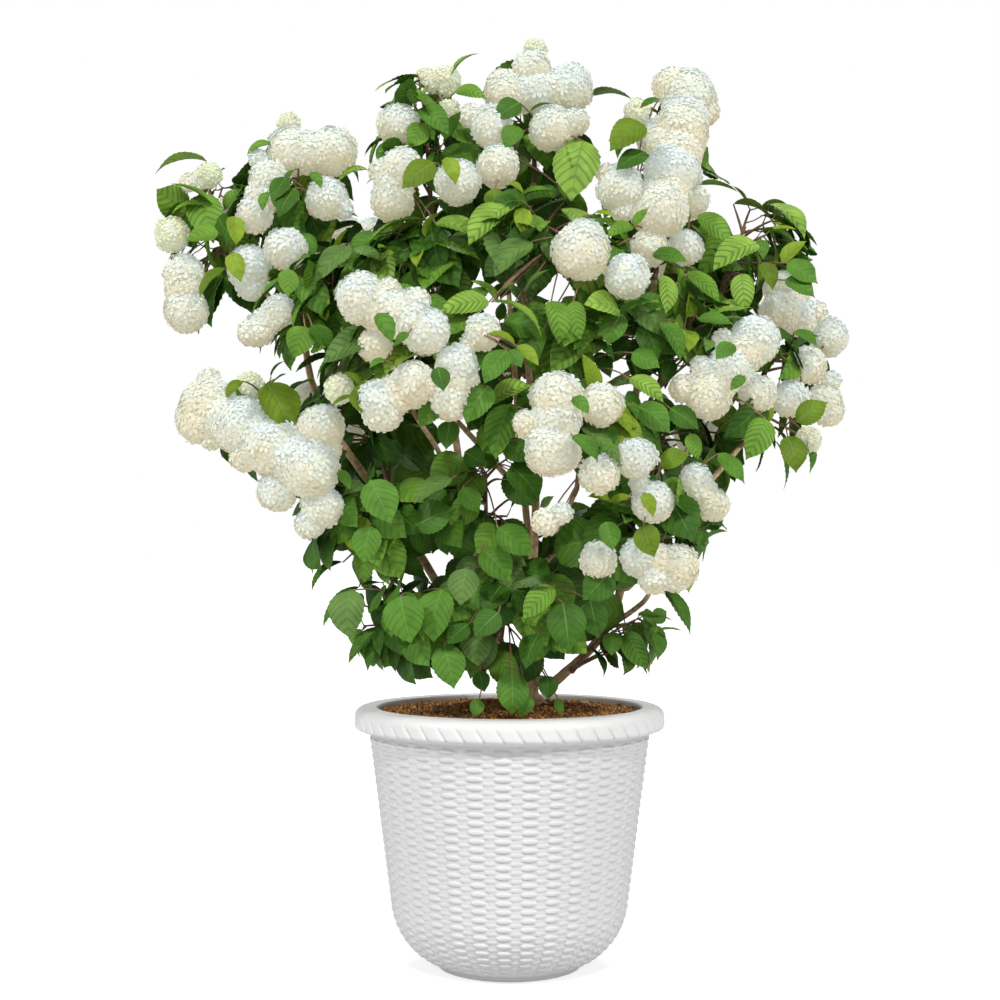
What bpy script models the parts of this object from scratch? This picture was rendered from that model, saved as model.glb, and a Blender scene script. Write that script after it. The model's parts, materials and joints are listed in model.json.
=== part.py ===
"""A potted doublefile viburnum in flower: a wicker-look planter filled with soil, a root crown with
five stems, their boughs, and one solid for each mass of foliage, with its leaves and snowball heads.

Metres, +Z up. The origin is the middle of the planter's flat underside. The front is towards -Y.
"""

import math
import random
from dataclasses import dataclass
from itertools import product

import bmesh
import bpy
from mathutils import Matrix, Vector
from mathutils.bvhtree import BVHTree

# Driving sizes of the planter
RIM_RADIUS = 0.200
RIM_TOP = 0.333
RIM_SKIRT = 0.306
RIM_UNDERSIDE = 0.3005
RIM_ROLL = 0.012
MOUTH_RADIUS = 0.170
WALL_TOP_RADIUS = 0.180
CORNER_TOP_RADIUS = 0.151
CORNER_TOP = 0.078
CORNER_RADIUS = 0.090
FOOT_RADIUS = 0.092
WALL = 0.004
FLOOR = 0.010
TURNED_STEPS = 30

# Driving sizes of the soil and the root crown
SOIL_EDGE = 0.322
SOIL_TOP = 0.336
SOIL_FLAT_RADIUS = 0.050
ROOT_CROWN_X = 0.020
ROOT_CROWN_TOP = 0.386
ROOT_FLARE_RADIUS = 0.030

# Driving sizes of the growth
CLEARANCE = 0.0003
TWIG_CLEARANCE = 0.0012
LIMB_POINT_SPACING = 0.065
COLLAR_SHARE = 2.0
STEM_BEVEL_RESOLUTION = 2
BOUGH_BEVEL_RESOLUTION = 1
TWIG_FOOT_RADIUS = 0.0034
TWIG_TIP_RADIUS = 0.0020
SHOOT_RADIUS_SHARE = 0.75
SHOOT_REACH = 0.62
OUTWARD_LEAN = 0.45
LEAF_LENGTH = 0.112
LEAF_WIDTH = 0.084
LEAF_THICKNESS = 0.0024
LEAF_ROOT = 0.0005
LEAF_REACH = 1.32
LEAF_TRIES = 12
LEAF_SHRINK = 0.035
SHOOT_TRIES = 6
HEAD_BULGE = 1.07
HEAD_RUFFLE = 0.04
PAIRS_ON_SHOOT = (0.95, 0.52)
PAIRS_ON_STEM = (0.94,)
SEED = 11
GOLDEN_ANGLE = math.pi * (3 - math.sqrt(5))
UP = Vector((0, 0, 1))


@dataclass(frozen=True)
class Limb:
    """A stem or bough: it leaves its parent at a share of its length and runs through its way points."""

    name: str
    parent: str
    share: float
    way: tuple
    foot_radius: float
    tip_radius: float


@dataclass(frozen=True)
class Flowers:
    """Snowball heads of one radius, set evenly on a shoot from start to end."""

    heads: int
    radius: float
    start: tuple
    end: tuple = None


@dataclass(frozen=True)
class Mass:
    """A mass of foliage in an ellipsoid, on its bough's tip or, where share is given, on a stem's side.

    Its outliers are the leaves that reach past the ellipsoid, each by its base and its tip."""

    name: str
    limb: str
    centre: tuple
    radii: tuple
    shoots: int
    droop: float
    share: float = 1.0
    flowers: tuple = ()
    outliers: tuple = ()


LIMBS = (
    Limb("stem_left", "root_crown", 0.55,
         ((-0.045, -0.034, 0.415), (-0.134, -0.048, 0.560),
          (-0.244, -0.045, 0.724), (-0.270, -0.030, 0.885)),
         0.0070, 0.0042),
    Limb("stem_middle", "root_crown", 0.80,
         ((-0.022, 0.030, 0.450), (-0.062, -0.005, 0.626),
          (-0.092, -0.030, 0.874), (-0.100, -0.040, 0.965)),
         0.0064, 0.0038),
    Limb("stem_centre", "root_crown", 1.0,
         ((0.026, 0.010, 0.450), (0.035, 0.030, 0.640), (0.020, 0.030, 0.860), (0.032, 0.000, 1.015)),
         0.0066, 0.0038),
    Limb("stem_right", "root_crown", 0.60,
         ((0.067, -0.012, 0.372), (0.139, -0.025, 0.470), (0.158, -0.045, 0.708), (0.186, -0.040, 0.880)),
         0.0070, 0.0042),
    Limb("stem_back", "root_crown", 0.70,
         ((0.040, 0.060, 0.430), (0.020, 0.120, 0.620), (0.000, 0.140, 0.890)),
         0.0064, 0.0038),
    Limb("bough_far_left", "stem_left", 0.86,
         ((-0.312, -0.040, 0.864), (-0.354, -0.050, 0.902)),
         0.0042, 0.0032),
    Limb("bough_low_left", "stem_left", 0.42,
         ((-0.185, -0.090, 0.600), (-0.222, -0.115, 0.638)),
         0.0048, 0.0036),
    Limb("bough_left_skirt", "stem_left", 0.20,
         ((-0.120, -0.075, 0.480), (-0.155, -0.100, 0.505)),
         0.0040, 0.0030),
    Limb("bough_front_left", "stem_middle", 0.36,
         ((-0.085, -0.100, 0.650), (-0.112, -0.160, 0.694)),
         0.0042, 0.0032),
    Limb("bough_front_right", "stem_centre", 0.28,
         ((0.060, -0.080, 0.560), (0.078, -0.140, 0.602)),
         0.0042, 0.0032),
    Limb("bough_middle", "stem_right", 0.60,
         ((0.120, -0.100, 0.715), (0.100, -0.130, 0.748)),
         0.0036, 0.0028),
    Limb("bough_low_right", "stem_right", 0.25,
         ((0.168, -0.075, 0.470), (0.178, -0.105, 0.496)),
         0.0042, 0.0032),
    Limb("bough_right", "stem_right", 0.33,
         ((0.215, -0.055, 0.575), (0.290, -0.065, 0.664)),
         0.0050, 0.0036),
    Limb("bough_right_shoulder", "stem_right", 0.76,
         ((0.205, -0.030, 0.815), (0.262, -0.020, 0.858)),
         0.0038, 0.0030),
    Limb("bough_back_left", "stem_back", 0.52,
         ((-0.090, 0.125, 0.730), (-0.185, 0.105, 0.800)),
         0.0044, 0.0034),
    Limb("bough_back_right", "stem_back", 0.56,
         ((0.090, 0.125, 0.730), (0.188, 0.095, 0.790)),
         0.0044, 0.0034),
    Limb("bough_back_flank_left", "stem_back", 0.28,
         ((-0.070, 0.120, 0.570), (-0.152, 0.105, 0.610)),
         0.0040, 0.0032),
    Limb("bough_back_flank_right", "stem_back", 0.32,
         ((0.090, 0.120, 0.550), (0.172, 0.100, 0.596)),
         0.0040, 0.0032),
    Limb("bough_back_middle", "stem_back", 0.42,
         ((0.020, 0.185, 0.660), (0.020, 0.215, 0.700)),
         0.0038, 0.0030),
    Limb("bough_back_skirt", "stem_back", 0.10,
         ((0.025, 0.110, 0.430), (0.030, 0.138, 0.452)),
         0.0036, 0.0028),
)

MASSES = (
    Mass("foliage_far_left", "bough_far_left",
         (-0.380, -0.055, 0.930), (0.070, 0.080, 0.115), 2, 0.35, flowers=(
        Flowers(2, 0.013, (-0.393, -0.070, 1.003), (-0.365, -0.070, 0.966)),
        Flowers(1, 0.019, (-0.422, -0.090, 0.930)),
        Flowers(2, 0.026, (-0.403, -0.105, 0.838), (-0.404, -0.105, 0.878)),
        Flowers(1, 0.028, (-0.325, -0.105, 0.882))),
         outliers=(((-0.386, -0.060, 1.029), (-0.449, -0.070, 1.010)),)),
    Mass("foliage_crown_left", "stem_left",
         (-0.276, -0.050, 0.990), (0.078, 0.095, 0.105), 3, 0.30, flowers=(
        Flowers(2, 0.031, (-0.276, -0.095, 1.030), (-0.223, -0.095, 1.030)),
        Flowers(2, 0.025, (-0.317, -0.110, 0.952), (-0.301, -0.110, 0.994)),
        Flowers(1, 0.027, (-0.229, -0.120, 0.968)),
        Flowers(1, 0.028, (-0.275, -0.135, 0.905)),
        Flowers(1, 0.011, (-0.281, -0.060, 1.077)))),
    Mass("foliage_shoulder_left", "stem_left",
         (-0.225, -0.100, 0.845), (0.100, 0.095, 0.085), 3, 0.40, 0.72, flowers=(
        Flowers(2, 0.021, (-0.280, -0.150, 0.826), (-0.303, -0.150, 0.803)),)),
    Mass("foliage_bough_left", "bough_low_left",
         (-0.285, -0.130, 0.685), (0.105, 0.085, 0.080), 3, 0.40, flowers=(
        Flowers(4, 0.037, (-0.242, -0.195, 0.630), (-0.366, -0.160, 0.710)),
        Flowers(1, 0.031, (-0.229, -0.180, 0.682)),
        Flowers(2, 0.027, (-0.225, -0.175, 0.586), (-0.277, -0.180, 0.608)),
        Flowers(1, 0.017, (-0.320, -0.125, 0.735)))),
    Mass("foliage_crown_centre_left", "stem_middle",
         (-0.108, -0.060, 1.055), (0.075, 0.090, 0.110), 2, 0.30, flowers=(
        Flowers(2, 0.014, (-0.078, -0.070, 1.091), (-0.099, -0.050, 1.132)),
        Flowers(1, 0.026, (-0.136, -0.100, 1.066)),
        Flowers(2, 0.028, (-0.147, -0.140, 0.963), (-0.134, -0.140, 1.000)),
        Flowers(1, 0.030, (-0.063, -0.140, 0.985))),
         outliers=(((-0.116, -0.070, 1.134), (-0.169, -0.090, 1.111)),
                   ((-0.075, -0.050, 1.130), (-0.040, -0.060, 1.167)))),
    Mass("foliage_crown_top", "stem_centre",
         (0.030, -0.010, 1.095), (0.088, 0.095, 0.095), 2, 0.30, flowers=(
        Flowers(3, 0.029, (-0.006, -0.060, 1.115), (0.078, -0.050, 1.122)),
        Flowers(1, 0.031, (0.052, -0.105, 1.062)),
        Flowers(2, 0.027, (-0.014, -0.120, 1.008), (-0.024, -0.105, 1.062)),
        Flowers(1, 0.012, (0.033, -0.030, 1.180))),
         outliers=(((0.100, -0.020, 1.121), (0.158, -0.030, 1.116)),
                   ((0.080, -0.090, 1.050), (0.087, -0.130, 0.977)))),
    Mass("foliage_crown_right", "stem_right",
         (0.190, -0.060, 1.010), (0.080, 0.090, 0.125), 2, 0.35, flowers=(
        Flowers(4, 0.037, (0.186, -0.135, 0.950), (0.226, -0.080, 1.105)),
        Flowers(1, 0.018, (0.161, -0.080, 1.086)),
        Flowers(1, 0.030, (0.134, -0.140, 0.976)),
        Flowers(2, 0.023, (0.219, -0.100, 0.912), (0.230, -0.080, 0.976)),
        Flowers(1, 0.024, (0.172, -0.130, 0.905))),
         outliers=(((0.176, -0.090, 1.060), (0.122, -0.120, 1.040)),
                   ((0.240, -0.050, 1.000), (0.290, -0.060, 0.990)))),
    Mass("foliage_inner_left", "stem_middle",
         (-0.110, -0.100, 0.900), (0.100, 0.090, 0.065), 3, 0.45, 0.78),
    Mass("foliage_inner_right", "stem_right", (0.225, -0.110, 0.800), (0.075, 0.085, 0.070), 3, 0.55, 0.70),
    Mass("foliage_upper_middle", "stem_centre",
         (0.045, -0.120, 0.915), (0.105, 0.105, 0.075), 3, 0.40, 0.72, flowers=(
        Flowers(1, 0.036, (0.086, -0.210, 0.886)),
        Flowers(1, 0.028, (0.138, -0.195, 0.860)))),
    Mass("foliage_shoulder_right", "bough_right_shoulder",
         (0.305, -0.020, 0.925), (0.100, 0.095, 0.080), 3, 0.45,
         outliers=(((0.290, -0.020, 0.982), (0.339, -0.030, 0.956)),
                   ((0.348, -0.010, 0.954), (0.398, -0.020, 0.928)))),
    Mass("foliage_bough_right", "bough_right",
         (0.335, -0.060, 0.760), (0.095, 0.095, 0.120), 3, 0.50, flowers=(
        Flowers(3, 0.031, (0.241, -0.160, 0.730), (0.298, -0.140, 0.788)),
        Flowers(2, 0.026, (0.369, -0.060, 0.831), (0.349, -0.040, 0.868)),
        Flowers(2, 0.026, (0.376, -0.075, 0.768), (0.413, -0.030, 0.808)),
        Flowers(3, 0.025, (0.304, -0.115, 0.728), (0.397, -0.065, 0.722)),
        Flowers(1, 0.017, (0.372, -0.080, 0.672))),
         outliers=(((0.335, -0.060, 0.674), (0.345, -0.070, 0.611)),
                   ((0.367, -0.070, 0.687), (0.374, -0.090, 0.630)))),
    Mass("foliage_front_left", "bough_front_left",
         (-0.118, -0.200, 0.775), (0.100, 0.085, 0.090), 3, 0.45, flowers=(
        Flowers(3, 0.031, (-0.096, -0.265, 0.790), (-0.171, -0.260, 0.823)),
        Flowers(1, 0.022, (-0.156, -0.245, 0.775)),
        Flowers(2, 0.027, (-0.114, -0.250, 0.724), (-0.152, -0.250, 0.706)),
        Flowers(1, 0.019, (-0.202, -0.220, 0.725)),
        Flowers(2, 0.026, (-0.072, -0.250, 0.710), (-0.062, -0.250, 0.750)),
        Flowers(1, 0.023, (-0.030, -0.240, 0.790)))),
    Mass("foliage_middle", "bough_middle", (0.095, -0.145, 0.800), (0.105, 0.090, 0.062), 4, 0.50),
    Mass("foliage_front_right", "bough_front_right",
         (0.090, -0.190, 0.672), (0.095, 0.085, 0.078), 3, 0.50, flowers=(
        Flowers(2, 0.035, (0.050, -0.270, 0.652), (0.054, -0.265, 0.711)),
        Flowers(1, 0.025, (0.103, -0.260, 0.700)),
        Flowers(2, 0.024, (0.100, -0.265, 0.622), (0.146, -0.245, 0.641)))),
    Mass("foliage_low_right", "bough_low_right",
         (0.165, -0.150, 0.560), (0.105, 0.085, 0.072), 3, 0.55, flowers=(
        Flowers(1, 0.027, (0.167, -0.215, 0.592)),
        Flowers(2, 0.021, (0.224, -0.180, 0.621), (0.240, -0.180, 0.590)),
        Flowers(1, 0.023, (0.104, -0.200, 0.523)),
        Flowers(2, 0.026, (0.155, -0.200, 0.527), (0.196, -0.200, 0.515))),
         outliers=(((0.185, -0.130, 0.490), (0.219, -0.140, 0.431)),)),
    Mass("foliage_left_skirt", "bough_left_skirt", (-0.175, -0.120, 0.575), (0.085, 0.085, 0.080), 4, 0.85,
         outliers=(((-0.205, -0.120, 0.520), (-0.242, -0.130, 0.485)),
                   ((-0.185, -0.120, 0.490), (-0.228, -0.130, 0.441)))),
    Mass("foliage_left_foot", "stem_left", (-0.120, -0.115, 0.450), (0.100, 0.080, 0.070), 3, 0.90, 0.10,
         outliers=(((-0.160, -0.120, 0.440), (-0.197, -0.130, 0.396)),)),
    Mass("foliage_middle_front", "stem_middle",
         (-0.030, -0.120, 0.600), (0.085, 0.085, 0.085), 3, 0.80, 0.24),
    Mass("foliage_middle_skirt", "stem_middle",
         (0.000, -0.105, 0.465), (0.100, 0.080, 0.095), 4, 0.90, 0.10),
    Mass("foliage_right_skirt", "stem_right", (0.140, -0.050, 0.430), (0.075, 0.060, 0.050), 2, 0.80, 0.12,
         outliers=(((0.142, -0.050, 0.425), (0.170, -0.060, 0.385)),)),
    Mass("foliage_back_left", "bough_back_left",
         (-0.215, 0.110, 0.900), (0.100, 0.115, 0.110), 3, 0.40, flowers=(
        Flowers(3, 0.032, (-0.190, 0.190, 0.960), (-0.275, 0.145, 0.980)),
        Flowers(1, 0.028, (-0.225, 0.210, 0.870)))),
    Mass("foliage_back_top", "stem_back", (-0.010, 0.130, 1.000), (0.115, 0.105, 0.110), 3, 0.35, flowers=(
        Flowers(3, 0.032, (-0.050, 0.180, 1.045), (0.045, 0.185, 1.060)),
        Flowers(1, 0.028, (0.050, 0.215, 0.980)))),
    Mass("foliage_back_right", "bough_back_right",
         (0.225, 0.095, 0.890), (0.100, 0.115, 0.110), 3, 0.40, flowers=(
        Flowers(3, 0.033, (0.205, 0.190, 0.890), (0.290, 0.125, 0.945)),
        Flowers(1, 0.028, (0.225, 0.140, 0.985)))),
    Mass("foliage_back_flank_left", "bough_back_flank_left",
         (-0.195, 0.110, 0.695), (0.105, 0.120, 0.100), 3, 0.60, flowers=(
        Flowers(3, 0.031, (-0.190, 0.205, 0.690), (-0.270, 0.150, 0.730)),)),
    Mass("foliage_back_middle", "bough_back_middle",
         (0.010, 0.225, 0.795), (0.110, 0.095, 0.100), 3, 0.50, flowers=(
        Flowers(3, 0.032, (-0.040, 0.310, 0.800), (0.050, 0.310, 0.830)),)),
    Mass("foliage_back_flank_right", "bough_back_flank_right",
         (0.220, 0.100, 0.680), (0.105, 0.115, 0.095), 3, 0.60, flowers=(
        Flowers(3, 0.030, (0.200, 0.200, 0.670), (0.290, 0.140, 0.700)),
        Flowers(1, 0.027, (0.245, 0.150, 0.615)))),
    Mass("foliage_back_skirt", "bough_back_skirt", (0.020, 0.130, 0.525), (0.140, 0.095, 0.095), 3, 0.85),
)


def clear_scene():
    for obj in list(bpy.data.objects):
        bpy.data.objects.remove(obj)


def new_collection(name, hidden=False):
    collection = bpy.data.collections.new(name)
    collection.hide_render = hidden
    bpy.context.scene.collection.children.link(collection)
    return collection


def plain_material(name, colour, roughness, metallic=0.0):
    material = bpy.data.materials.new(name)
    material.use_nodes = True
    shader = material.node_tree.nodes["Principled BSDF"]
    shader.inputs["Base Color"].default_value = (*colour, 1)
    shader.inputs["Roughness"].default_value = roughness
    shader.inputs["Metallic"].default_value = metallic
    material.diffuse_color = (*colour, 1)
    return material


def add_mesh_object(name, mesh, material, collection):
    obj = bpy.data.objects.new(name, mesh)
    mesh.materials.clear()
    mesh.materials.append(material)
    collection.objects.link(obj)
    return obj


def turned_object(name, profile, material, collection):
    """A body turned about Z from (radius, height) points that start and end on the axis."""
    mesh = bpy.data.meshes.new(name)
    edges = [(i, i + 1) for i in range(len(profile) - 1)]
    mesh.from_pydata([(radius, 0, height) for radius, height in profile], edges, [])
    obj = add_mesh_object(name, mesh, material, collection)
    screw = obj.modifiers.new("turn", "SCREW")
    screw.steps = screw.render_steps = TURNED_STEPS
    screw.use_merge_vertices = True
    screw.merge_threshold = 0.00005
    screw.use_normal_calculate = True
    screw.use_smooth_shade = True
    return obj


def arc(centre_radius, centre_height, radius, start_deg, end_deg, steps):
    """Points of a round stretch of a profile, from one angle to another above the horizontal."""
    angles = [math.radians(start_deg + (end_deg - start_deg) * i / steps) for i in range(steps + 1)]
    return [(centre_radius + radius * math.cos(a), centre_height + radius * math.sin(a)) for a in angles]


def wall_radius(height):
    """Outer radius of the planter's straight wall at a height."""
    share = (height - CORNER_TOP) / (RIM_UNDERSIDE - CORNER_TOP)
    return CORNER_TOP_RADIUS + share * (WALL_TOP_RADIUS - CORNER_TOP_RADIUS)


def corner_centre_radius():
    """Radius at which the round bottom corner has its centre, so that it runs on into wall and foot."""
    drop = CORNER_RADIUS - CORNER_TOP
    return CORNER_TOP_RADIUS - math.sqrt(CORNER_RADIUS ** 2 - drop ** 2)


def corner_points(offset, steps):
    """The round bottom corner, set in by an offset, from the wall down to the foot."""
    centre = corner_centre_radius()
    radius = CORNER_RADIUS - offset
    start = -math.degrees(math.asin((CORNER_RADIUS - CORNER_TOP) / CORNER_RADIUS))
    end = -math.degrees(math.acos((FOOT_RADIUS - centre) / CORNER_RADIUS))
    return arc(centre, CORNER_RADIUS, radius, start, end, steps)


def make_planter(collection):
    plastic = plain_material("planter_plastic", (0.86, 0.86, 0.85), 0.42)
    rim_inner = RIM_RADIUS - RIM_ROLL
    inner = [(radius, max(height, FLOOR)) for radius, height in corner_points(WALL, 2)]
    profile = [(0, FLOOR)]
    profile += reversed(inner)
    profile += [(wall_radius(RIM_UNDERSIDE) - WALL, RIM_UNDERSIDE), (MOUTH_RADIUS, RIM_SKIRT)]
    profile += [(MOUTH_RADIUS, RIM_TOP - 0.002), (MOUTH_RADIUS + 0.003, RIM_TOP)]
    profile += reversed(arc(rim_inner, RIM_TOP - RIM_ROLL, RIM_ROLL, 10, 90, 3))
    profile += [(RIM_RADIUS, RIM_SKIRT + 0.002), (RIM_RADIUS - 0.002, RIM_SKIRT)]
    profile += [(wall_radius(RIM_UNDERSIDE), RIM_UNDERSIDE)]
    profile += corner_points(0, 5)
    profile += [(FOOT_RADIUS, 0), (0, 0)]
    return turned_object("planter", profile, plastic, collection)


def make_soil(collection):
    soil = plain_material("potting_soil", (0.075, 0.036, 0.018), 0.95)
    lowest = FLOOR + CLEARANCE
    inner = [(radius - CLEARANCE, max(height, lowest)) for radius, height in corner_points(WALL, 2)]
    edge = MOUTH_RADIUS - CLEARANCE
    profile = [(0, SOIL_TOP), (SOIL_FLAT_RADIUS, SOIL_TOP)]
    profile += [(SOIL_FLAT_RADIUS + 0.03, SOIL_TOP - 0.003), (0.130, SOIL_EDGE + 0.003), (edge, SOIL_EDGE)]
    profile += [(edge, RIM_SKIRT), (wall_radius(RIM_UNDERSIDE) - WALL - CLEARANCE, RIM_UNDERSIDE)]
    profile += inner
    profile += [(0, lowest)]
    return turned_object("soil", profile, soil, collection)


def smooth_path(way, spacing):
    """Points about a spacing apart on a Catmull-Rom curve through the way points."""
    points = [Vector(p) for p in way]
    before = points[0] * 2 - points[1]
    after = points[-1] * 2 - points[-2]
    padded = [before, *points, after]
    path = [points[0]]
    for a, b, c, d in zip(padded, padded[1:], padded[2:], padded[3:]):
        steps = max(1, round((c - b).length / spacing))
        for i in range(1, steps + 1):
            t = i / steps
            path.append(0.5 * (2 * b + (c - a) * t + (2 * a - 5 * b + 4 * c - d) * t * t
                               + (3 * b - a - 3 * c + d) * t ** 3))
    return path


def bent_path(start, end, lift, steps):
    """A shoot's path: a quadratic curve that bows upwards by a share of its length."""
    control = start.lerp(end, 0.5) + UP * lift * (end - start).length
    shares = [i / steps for i in range(steps + 1)]
    return [start * (1 - t) ** 2 + control * 2 * t * (1 - t) + end * t * t for t in shares]


def tapered_curve(name, path, foot_radius, tip_radius, bevel_resolution=None):
    """A POLY curve with filled caps that tapers along its path, three-sided with no bevel resolution."""
    data = bpy.data.curves.new(name, "CURVE")
    data.dimensions = "3D"
    data.use_fill_caps = True
    if bevel_resolution is None:
        data.bevel_mode = "OBJECT"
        data.bevel_object = bpy.data.objects["three_sided_section"]
    else:
        data.bevel_depth = 1.0
        data.bevel_resolution = bevel_resolution
    spline = data.splines.new("POLY")
    spline.points.add(len(path) - 1)
    for i, (point, place) in enumerate(zip(spline.points, path)):
        point.co = (*place, 1)
        point.radius = foot_radius + (tip_radius - foot_radius) * i / (len(path) - 1)
    return bpy.data.objects.new(name, data)


def three_sided_section(collection):
    """The closed curve of unit radius that gives twigs their three sides."""
    data = bpy.data.curves.new("three_sided_section", "CURVE")
    data.dimensions = "2D"
    spline = data.splines.new("POLY")
    spline.points.add(2)
    for i, point in enumerate(spline.points):
        angle = -math.tau * i / 3
        point.co = (math.cos(angle), math.sin(angle), 0, 1)
    spline.use_cyclic_u = True
    obj = bpy.data.objects.new("three_sided_section", data)
    obj.hide_render = True
    obj.display_type = "WIRE"
    collection.objects.link(obj)
    return obj


def mesh_from_curve(curve, collection):
    """The curve's closed mesh, with its caps welded on. The curve is removed."""
    collection.objects.link(curve)
    bpy.context.view_layer.update()
    evaluated = curve.evaluated_get(bpy.context.evaluated_depsgraph_get())
    mesh = bpy.data.meshes.new_from_object(evaluated)
    mesh.name = curve.name
    work = bmesh.new()
    work.from_mesh(mesh)
    bmesh.ops.remove_doubles(work, verts=work.verts, dist=0.00001)
    if shell_volume(work.faces) < 0:
        bmesh.ops.reverse_faces(work, faces=work.faces)
    work.to_mesh(mesh)
    work.free()
    bpy.data.objects.remove(curve)
    return mesh


def tree_of(meshes):
    """One search tree over the faces of several meshes."""
    points, faces = [], []
    for mesh in meshes:
        first = len(points)
        points += [v.co.copy() for v in mesh.vertices]
        faces += [[first + i for i in polygon.vertices] for polygon in mesh.polygons]
    return BVHTree.FromPolygons(points, faces)


def point_along(path, share):
    """The place and direction at a share of a path's length."""
    lengths = [(b - a).length for a, b in zip(path, path[1:])]
    left = share * sum(lengths)
    for a, b, length in zip(path, path[1:], lengths):
        if left <= length:
            return a.lerp(b, left / length), (b - a).normalized()
        left -= length
    return path[-1].copy(), (path[-1] - path[-2]).normalized()


def seat_on_side(parent_path, parent_tree, share, aim, radius):
    """Where a limb that aims at a point leaves its parent's side, clear of the bark, and which way.

    The limb's foot is a disc of the given radius, square to that way. All of it keeps the clearance."""
    place, along = point_along(parent_path, share)
    out = aim - place
    out = (out - along * out.dot(along)).normalized()
    hit, _, _, _ = parent_tree.ray_cast(place + out * 0.2, -out)
    across = along.cross(out)
    far = hit + out * 0.05
    nearest = 0.05
    for ring, turn in product((0.4, 0.7, 1.0), range(16)):
        angle = math.tau * turn / 16
        start = far + (across * math.cos(angle) + along * math.sin(angle)) * radius * ring
        bark = parent_tree.ray_cast(start, -out)[0]
        if bark:
            nearest = min(nearest, (start - bark).dot(out))
    return far - out * (nearest - CLEARANCE), out


def seat_on(parent_path, parent_tree, share, aim, radius):
    """A seat on the parent's tip where the share is its whole length, or else on its side."""
    if share < 1:
        return seat_on_side(parent_path, parent_tree, share, aim, radius)
    way = (parent_path[-1] - parent_path[-2]).normalized()
    return parent_path[-1] + way * CLEARANCE, way


def make_root_crown(material, collection):
    """The woody foot that the stems share: flared at the soil, with a flat cut below."""
    foot = SOIL_TOP + CLEARANCE
    rise = ROOT_CROWN_TOP - foot
    sections = ((0, 1.0), (0.10, 0.82), (0.30, 0.62), (0.60, 0.56), (0.85, 0.55), (1.0, 0.40))
    path = [Vector((ROOT_CROWN_X - 0.004 * share, 0, foot + rise * share)) for share, _ in sections]
    path[1].x = path[0].x
    curve = tapered_curve("root_crown", path, 1, 1, STEM_BEVEL_RESOLUTION)
    for point, (_, size) in zip(curve.data.splines[0].points, sections):
        point.radius = ROOT_FLARE_RADIUS * size
    mesh = mesh_from_curve(curve, collection)
    add_mesh_object("root_crown", mesh, material, collection)
    return path, mesh


def make_limbs(collection):
    """Every stem and bough as its own solid. Returns each one's path and mesh by name."""
    bark = plain_material("bark", (0.30, 0.20, 0.12), 0.85)
    paths, meshes, trees = {}, {}, {}
    paths["root_crown"], meshes["root_crown"] = make_root_crown(bark, collection)
    trees["root_crown"] = tree_of([meshes["root_crown"]])
    for limb in LIMBS:
        first = Vector(limb.way[0])
        seat, way = seat_on(paths[limb.parent], trees[limb.parent], limb.share, first, limb.foot_radius)
        collar = seat + way * limb.foot_radius * COLLAR_SHARE
        path = [seat, *smooth_path([collar, *limb.way], LIMB_POINT_SPACING)]
        is_stem = limb.name.startswith("stem")
        sides = STEM_BEVEL_RESOLUTION if is_stem else BOUGH_BEVEL_RESOLUTION
        curve = tapered_curve(limb.name, path, limb.foot_radius, limb.tip_radius, sides)
        mesh = mesh_from_curve(curve, collection)
        mesh.shade_smooth()
        add_mesh_object(limb.name, mesh, bark, collection)
        paths[limb.name], meshes[limb.name], trees[limb.name] = path, mesh, tree_of([mesh])
    return paths, meshes, trees


def twig_mesh(path, foot_radius, tip_radius, collection):
    return mesh_from_curve(tapered_curve("twig", path, foot_radius, tip_radius), collection)


def random_vector(rng):
    return Vector((rng.uniform(-1, 1), rng.uniform(-1, 1), rng.uniform(-1, 1)))


def head_mesh(centre, radius, rng):
    """A snowball head: a coarse ruffled ball, a little large so that its flat faces hold as much."""
    work = bmesh.new()
    bmesh.ops.create_icosphere(work, subdivisions=1, radius=radius)
    turn = Matrix.Rotation(rng.uniform(0, math.tau), 4, random_vector(rng))
    for vertex in work.verts:
        vertex.co *= HEAD_BULGE + rng.uniform(-HEAD_RUFFLE, HEAD_RUFFLE)
    bmesh.ops.transform(work, matrix=Matrix.Translation(centre) @ turn, verts=work.verts)
    mesh = bpy.data.meshes.new("head")
    work.to_mesh(mesh)
    work.free()
    return mesh


def leaf_axes(place, along, side, droop, jitter):
    """A leaf's midrib direction, its direction across, and the way its upper face looks."""
    outward = Vector((place.x, place.y, 0)).normalized()
    midrib = (side * 0.8 + along * 0.35 + outward * 0.35 - UP * droop + jitter).normalized()
    face = UP * (1.15 - droop) + outward * (0.35 + droop) + jitter.yzx
    across = face.cross(midrib).normalized()
    return midrib, across, midrib.cross(across)


def leaf_mesh(place, axes, size):
    """A leaf of eight faces: a flat octahedron with corners at its base, tip and two widest points."""
    midrib, across, face = axes
    work = bmesh.new()
    bmesh.ops.create_uvsphere(work, u_segments=4, v_segments=2, radius=1)
    length, width = LEAF_LENGTH * size, LEAF_WIDTH * size
    for vertex in work.verts:
        x, y, z = vertex.co
        forward = -LEAF_ROOT if x < -0.5 else length if x > 0.5 else length * 0.40
        lift = (0.12 * width * abs(y)) - (0.10 * length if x > 0.5 else 0) + z * LEAF_THICKNESS * 0.5
        vertex.co = place + midrib * forward + across * (y * width / 2) + face * lift
    mesh = bpy.data.meshes.new("leaf")
    work.to_mesh(mesh)
    work.free()
    return mesh


def depth_in(mass, place):
    """How far out a place is in a mass's ellipsoid: 0 at its centre and 1 at its surface."""
    offset = place - Vector(mass.centre)
    return math.sqrt(sum((o / r) ** 2 for o, r in zip(offset, mass.radii)))


def head_places(flowers):
    start = Vector(flowers.start)
    end = Vector(flowers.end or flowers.start)
    count = flowers.heads
    return [start.lerp(end, i / max(1, count - 1)) for i in range(count)]


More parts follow.
